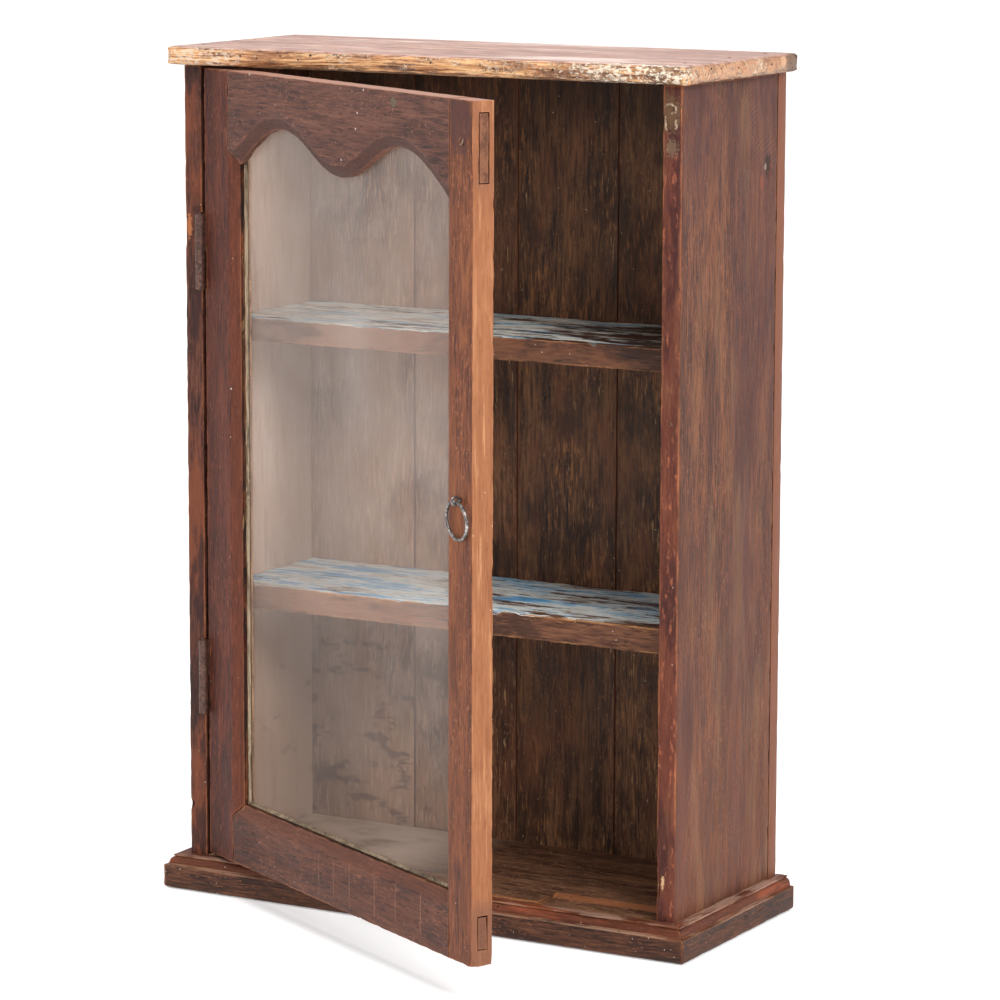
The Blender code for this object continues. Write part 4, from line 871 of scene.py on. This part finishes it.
def nail_heads(name, places, axis, sign, material, radius):
    """Hand-made nail heads: low, dented domes, each a little out of round."""
    bm = bmesh.new()
    for place in places:
        turn = random.uniform(0, math.pi)
        squeeze = random.uniform(0.78, 1.0)
        size = radius * random.uniform(0.85, 1.15)
        rings = []
        for share, rise in ((1.0, -0.0008), (1.0, 0.0), (0.82, 0.00022), (0.45, 0.00034)):
            ring = []
            for index in range(14):
                angle = 2 * math.pi * index / 14
                reach = size * share * (1 + 0.09 * math.sin(3 * angle + turn * 5))
                u, v = reach * math.cos(angle + turn), reach * math.sin(angle + turn) * squeeze
                point = [u, v]
                point.insert(axis, sign * (rise - 0.0001 + 0.00008 * math.sin(angle)))
                ring.append(bm.verts.new(Vector(place) + Vector(point)))
            rings.append(ring)
        close_rings(bm, rings)
    add_mesh(name, bm, "cabinet", material)


def bent_nail(name, path, radius, material, body="cabinet"):
    """A clenched nail: round wire that follows a path, with a flattened, uneven section."""
    bm = bmesh.new()
    points = [Vector(point) for point in path]
    rings = []
    for index, point in enumerate(points):
        ahead = points[min(index + 1, len(points) - 1)] - points[max(index - 1, 0)]
        side = ahead.cross(Vector((0, 1, 0)))
        side = side.normalized() if side.length > 1e-9 else Vector((1, 0, 0))
        up = side.cross(ahead).normalized()
        size = radius * (0.55 if index in (0, len(points) - 1) else random.uniform(0.85, 1.2))
        rings.append([bm.verts.new(point + side * size * math.cos(turn) + up * size * 0.8 * math.sin(turn))
                      for turn in [2 * math.pi * step / 10 for step in range(10)]])
    close_rings(bm, rings)
    add_mesh(name, bm, body, material)


NAIL = metal("looks_nail", trio(28, 20, 16, 66, 46, 36, 140, 112, 90), srgb(92, 48, 28), 0.8, 600.0)
HOLE = metal("looks_nail_hole", trio(14, 10, 8, 26, 18, 14, 40, 28, 22), rough=(0.8, 0.95), metallic=0.0)
RUSTY_FILL = metal("looks_rusty_nail", trio(74, 54, 38, 136, 112, 86, 222, 206, 180), srgb(92, 56, 34), 0.7,
                   700.0, rough=(0.5, 0.8), metallic=0.3)

nail_heads("nails_top", [(x, y, TOP_Z - 0.0002) for x in (-0.236, 0.236) for y in (-0.078, 0.004, 0.071)], 2, 1,
           NAIL, 0.0022)
end_holes = ((-0.071, 0.7480), (-0.0525, 0.7470), (-0.021, 0.7462), (0.0415, 0.7452))
nail_heads("nail_holes_top_edge", [(TOP_END, y, z) for y, z in end_holes], 0, 1, HOLE, 0.0009)
front_holes = ((-0.1758, 0.7462), (-0.135, 0.7475), (-0.1049, 0.7490), (0.014, 0.7470), (0.075, 0.7440),
               (0.131, 0.7452))
nail_heads("nail_holes_front_edge", [(x, TOP_FRONT, z) for x, z in front_holes], 1, -1, HOLE,
           0.0010)
heads = []
for index in range(4):
    low_corner, high_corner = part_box(f"back_plank_{index + 1}")
    for z in (0.045, LOWER_TOP - 0.0115, UPPER_TOP - 0.0105, UNDER_TOP - 0.012):
        for x in (low_corner.x + 0.014, high_corner.x - 0.014):
            heads.append((x + random.uniform(-0.003, 0.003), BACK_Y - 0.0002, z + random.uniform(-0.003, 0.003)))
nail_heads("nails_back", heads, 1, 1, NAIL, 0.0026)
nail_heads("nails_moulding_front", [(x, FRONT_Y - MOULDING_OUT, 0.0105) for x in (-0.205, -0.06, 0.085, 0.222)],
           1, -1, NAIL, 0.0013)
for side, sign in (("right", 1), ("left", -1)):
    nail_heads(f"nails_moulding_{side}", [(sign * (SIDE_X + MOULDING_OUT), y, 0.0105) for y in (-0.075, 0.072)],
               0, sign, NAIL, 0.0013)
nail_heads("nail_right_panel", [(0.236, FRONT_Y, 0.455)], 1, -1, NAIL, 0.0016)
bent_nail("clenched_nail_high", [(0.2275, FRONT_Y + 0.001, 0.7170), (0.2300, FRONT_Y - 0.0004, 0.7195),
                                 (0.2345, FRONT_Y - 0.0008, 0.7200), (0.2385, FRONT_Y - 0.0008, 0.7175),
                                 (0.2385, FRONT_Y - 0.0006, 0.7140), (0.2350, FRONT_Y - 0.0005, 0.7125),
                                 (0.2310, FRONT_Y + 0.001, 0.7135)], 0.0012, RUSTY_FILL)
bent_nail("clenched_nail_low", [(0.2280, FRONT_Y + 0.001, 0.7105), (0.2290, FRONT_Y - 0.0005, 0.7060),
                                (0.2290, FRONT_Y - 0.0006, 0.7010), (0.2300, FRONT_Y + 0.001, 0.6970)], 0.0011,
          RUSTY_FILL)
bent_nail("clenched_nail_side", [(0.2385, FRONT_Y + 0.001, 0.7085), (0.2380, FRONT_Y - 0.0006, 0.7050),
                                 (0.2390, FRONT_Y - 0.0006, 0.7015), (0.2375, FRONT_Y + 0.001, 0.6985)], 0.0012,
          RUSTY_FILL)
bent_nail("bent_nail_stile", [(0.2055, -0.0972, 0.6992), (0.2070, -0.0986, 0.6985), (0.2095, -0.0992, 0.6990),
                              (0.2110, -0.0990, 0.7010), (0.2112, -0.0986, 0.7030)], 0.0007,
          RUSTY_FILL, "door")


PUTTY_GAP = 0.0001  # keeps the putty clear of the lip and the pane
PUTTY_STEP = 0.006


def putty_strip(name, start, end, inward, face):
    """Hand-pressed glazing putty in the corner between the lip and the pane, along one side of the opening."""
    bm = bmesh.new()
    start, end, inward = Vector(start), Vector(end), Vector(inward)
    count = max(2, round((end - start).length / PUTTY_STEP))
    section = ((0.0, 0.0), (1.0, 0.0), (0.95, 0.18), (0.55, 0.55), (0.18, 0.95), (0.0, 1.0))
    rings = []
    for step in range(count + 1):
        spot = start.lerp(end, step / count)
        wide = 0.0024 + 0.0004 * noise.noise(spot * 45)
        deep = 0.0022 + 0.0004 * noise.noise(spot * 60 + Vector((3, 1, 7)))
        wobble = 0.0002 * noise.noise(spot * 220)
        rings.append([
            bm.verts.new(spot + inward * (PUTTY_GAP + u * (wide + wobble)) + Vector((0, -PUTTY_GAP - v * deep, 0)))
            for u, v in section])
    close_rings(bm, rings)
    add_mesh(name, bm, "door", face)


PUTTY = board("looks_putty", "Z", trio(58, 44, 32, 108, 88, 68, 156, 136, 112), 1.3, True, bands=120.0,
              dark=0.6, light=0.4, worn=srgb(176, 156, 130), wear=0.4, specks=0.02)
PANE = [TO_DOOR @ vert.co for vert in NODES["glass_pane"].data.vertices]
PANE_LOW = Vector([min(point[axis] for point in PANE) for axis in range(3)])
PANE_HIGH = Vector([max(point[axis] for point in PANE) for axis in range(3)])
COVERED = 0.010  # how far the lip reaches over the pane
SIGHT_LOW = PANE_LOW + Vector((COVERED, 0, COVERED))
SIGHT_FAR = PANE_HIGH.x - COVERED
SPRING = PANE_HIGH.z - 0.0525  # where the scallop starts
CORNER = 0.0048  # left free at both ends of the bottom strip
putty_strip("putty_left", SIGHT_LOW, (SIGHT_LOW.x, SIGHT_LOW.y, SPRING), (1, 0, 0), PUTTY)
putty_strip("putty_right", (SIGHT_FAR, SIGHT_LOW.y, SIGHT_LOW.z), (SIGHT_FAR, SIGHT_LOW.y, SPRING), (-1, 0, 0), PUTTY)
putty_strip("putty_bottom", SIGHT_LOW + Vector((CORNER, 0, 0)), (SIGHT_FAR - CORNER, SIGHT_LOW.y, SIGHT_LOW.z),
            (0, 0, 1), PUTTY)


# ---- studio
def look_along(yaw, pitch, roll):
    forward = Vector((-math.sin(yaw) * math.cos(pitch), math.cos(yaw) * math.cos(pitch), math.sin(pitch)))
    right = Vector((math.cos(yaw), math.sin(yaw), 0))
    up = right.cross(forward)
    side = right * math.cos(roll) + up * math.sin(roll)
    up = -right * math.sin(roll) + up * math.cos(roll)
    return Matrix((side, up, -forward)).transposed()


camera = bpy.data.objects.new("camera", bpy.data.cameras.new("camera"))
camera.data.lens = 156.5
camera.data.clip_end = 60.0
camera.location = (1.865, -3.268, 0.985)
camera.rotation_euler = look_along(0.5143, -0.1652, 0.0029).to_euler()
SCENE.collection.objects.link(camera)
SCENE.camera = camera

ground = bpy.data.materials.new("studio_floor")
ground.use_nodes = True
sockets = ground.node_tree.nodes["Principled BSDF"].inputs
sockets["Base Color"].default_value = (0.9, 0.9, 0.9, 1)
sockets["Roughness"].default_value = 0.7
sockets["Emission Color"].default_value = (1, 1, 1, 1)
sockets["Emission Strength"].default_value = 0.3  # lifts the ground to white
floor_mesh = bpy.data.meshes.new("studio_floor")
half = 40.0
floor_mesh.from_pydata([(-half, -half, 0), (half, -half, 0), (half, half, 0), (-half, half, 0)], [], [(0, 1, 2, 3)])
floor_mesh.materials.append(ground)
studio_floor = bpy.data.objects.new("studio_floor", floor_mesh)
studio_floor.location.z = -0.0005
SCENE.collection.objects.link(studio_floor)


def area_light(name, place, target, size, power):
    data = bpy.data.lights.new(name, "AREA")
    data.shape = "RECTANGLE"
    data.size, data.size_y = size
    data.energy = power
    obj = bpy.data.objects.new(name, data)
    obj.location = place
    obj.rotation_euler = (Vector(target) - Vector(place)).to_track_quat("-Z", "Y").to_euler()
    SCENE.collection.objects.link(obj)


area_light("key", (2.7, -1.9, 2.1), (0, 0, 0.4), (1.2, 1.2), 78)
area_light("fill", (-1.2, -3.4, 1.8), (0, 0, 0.4), (2.2, 2.2), 14)
area_light("overhead", (0.2, -0.2, 3.2), (0, 0, 0.4), (2.0, 2.0), 36)

world = bpy.data.worlds.new("studio")
SCENE.world = world
world.use_nodes = True
sky = world.node_tree.nodes["Background"].inputs
sky["Color"].default_value = (1, 1, 1, 1)
sky["Strength"].default_value = 0.95
SCENE.view_settings.view_transform = "Standard"
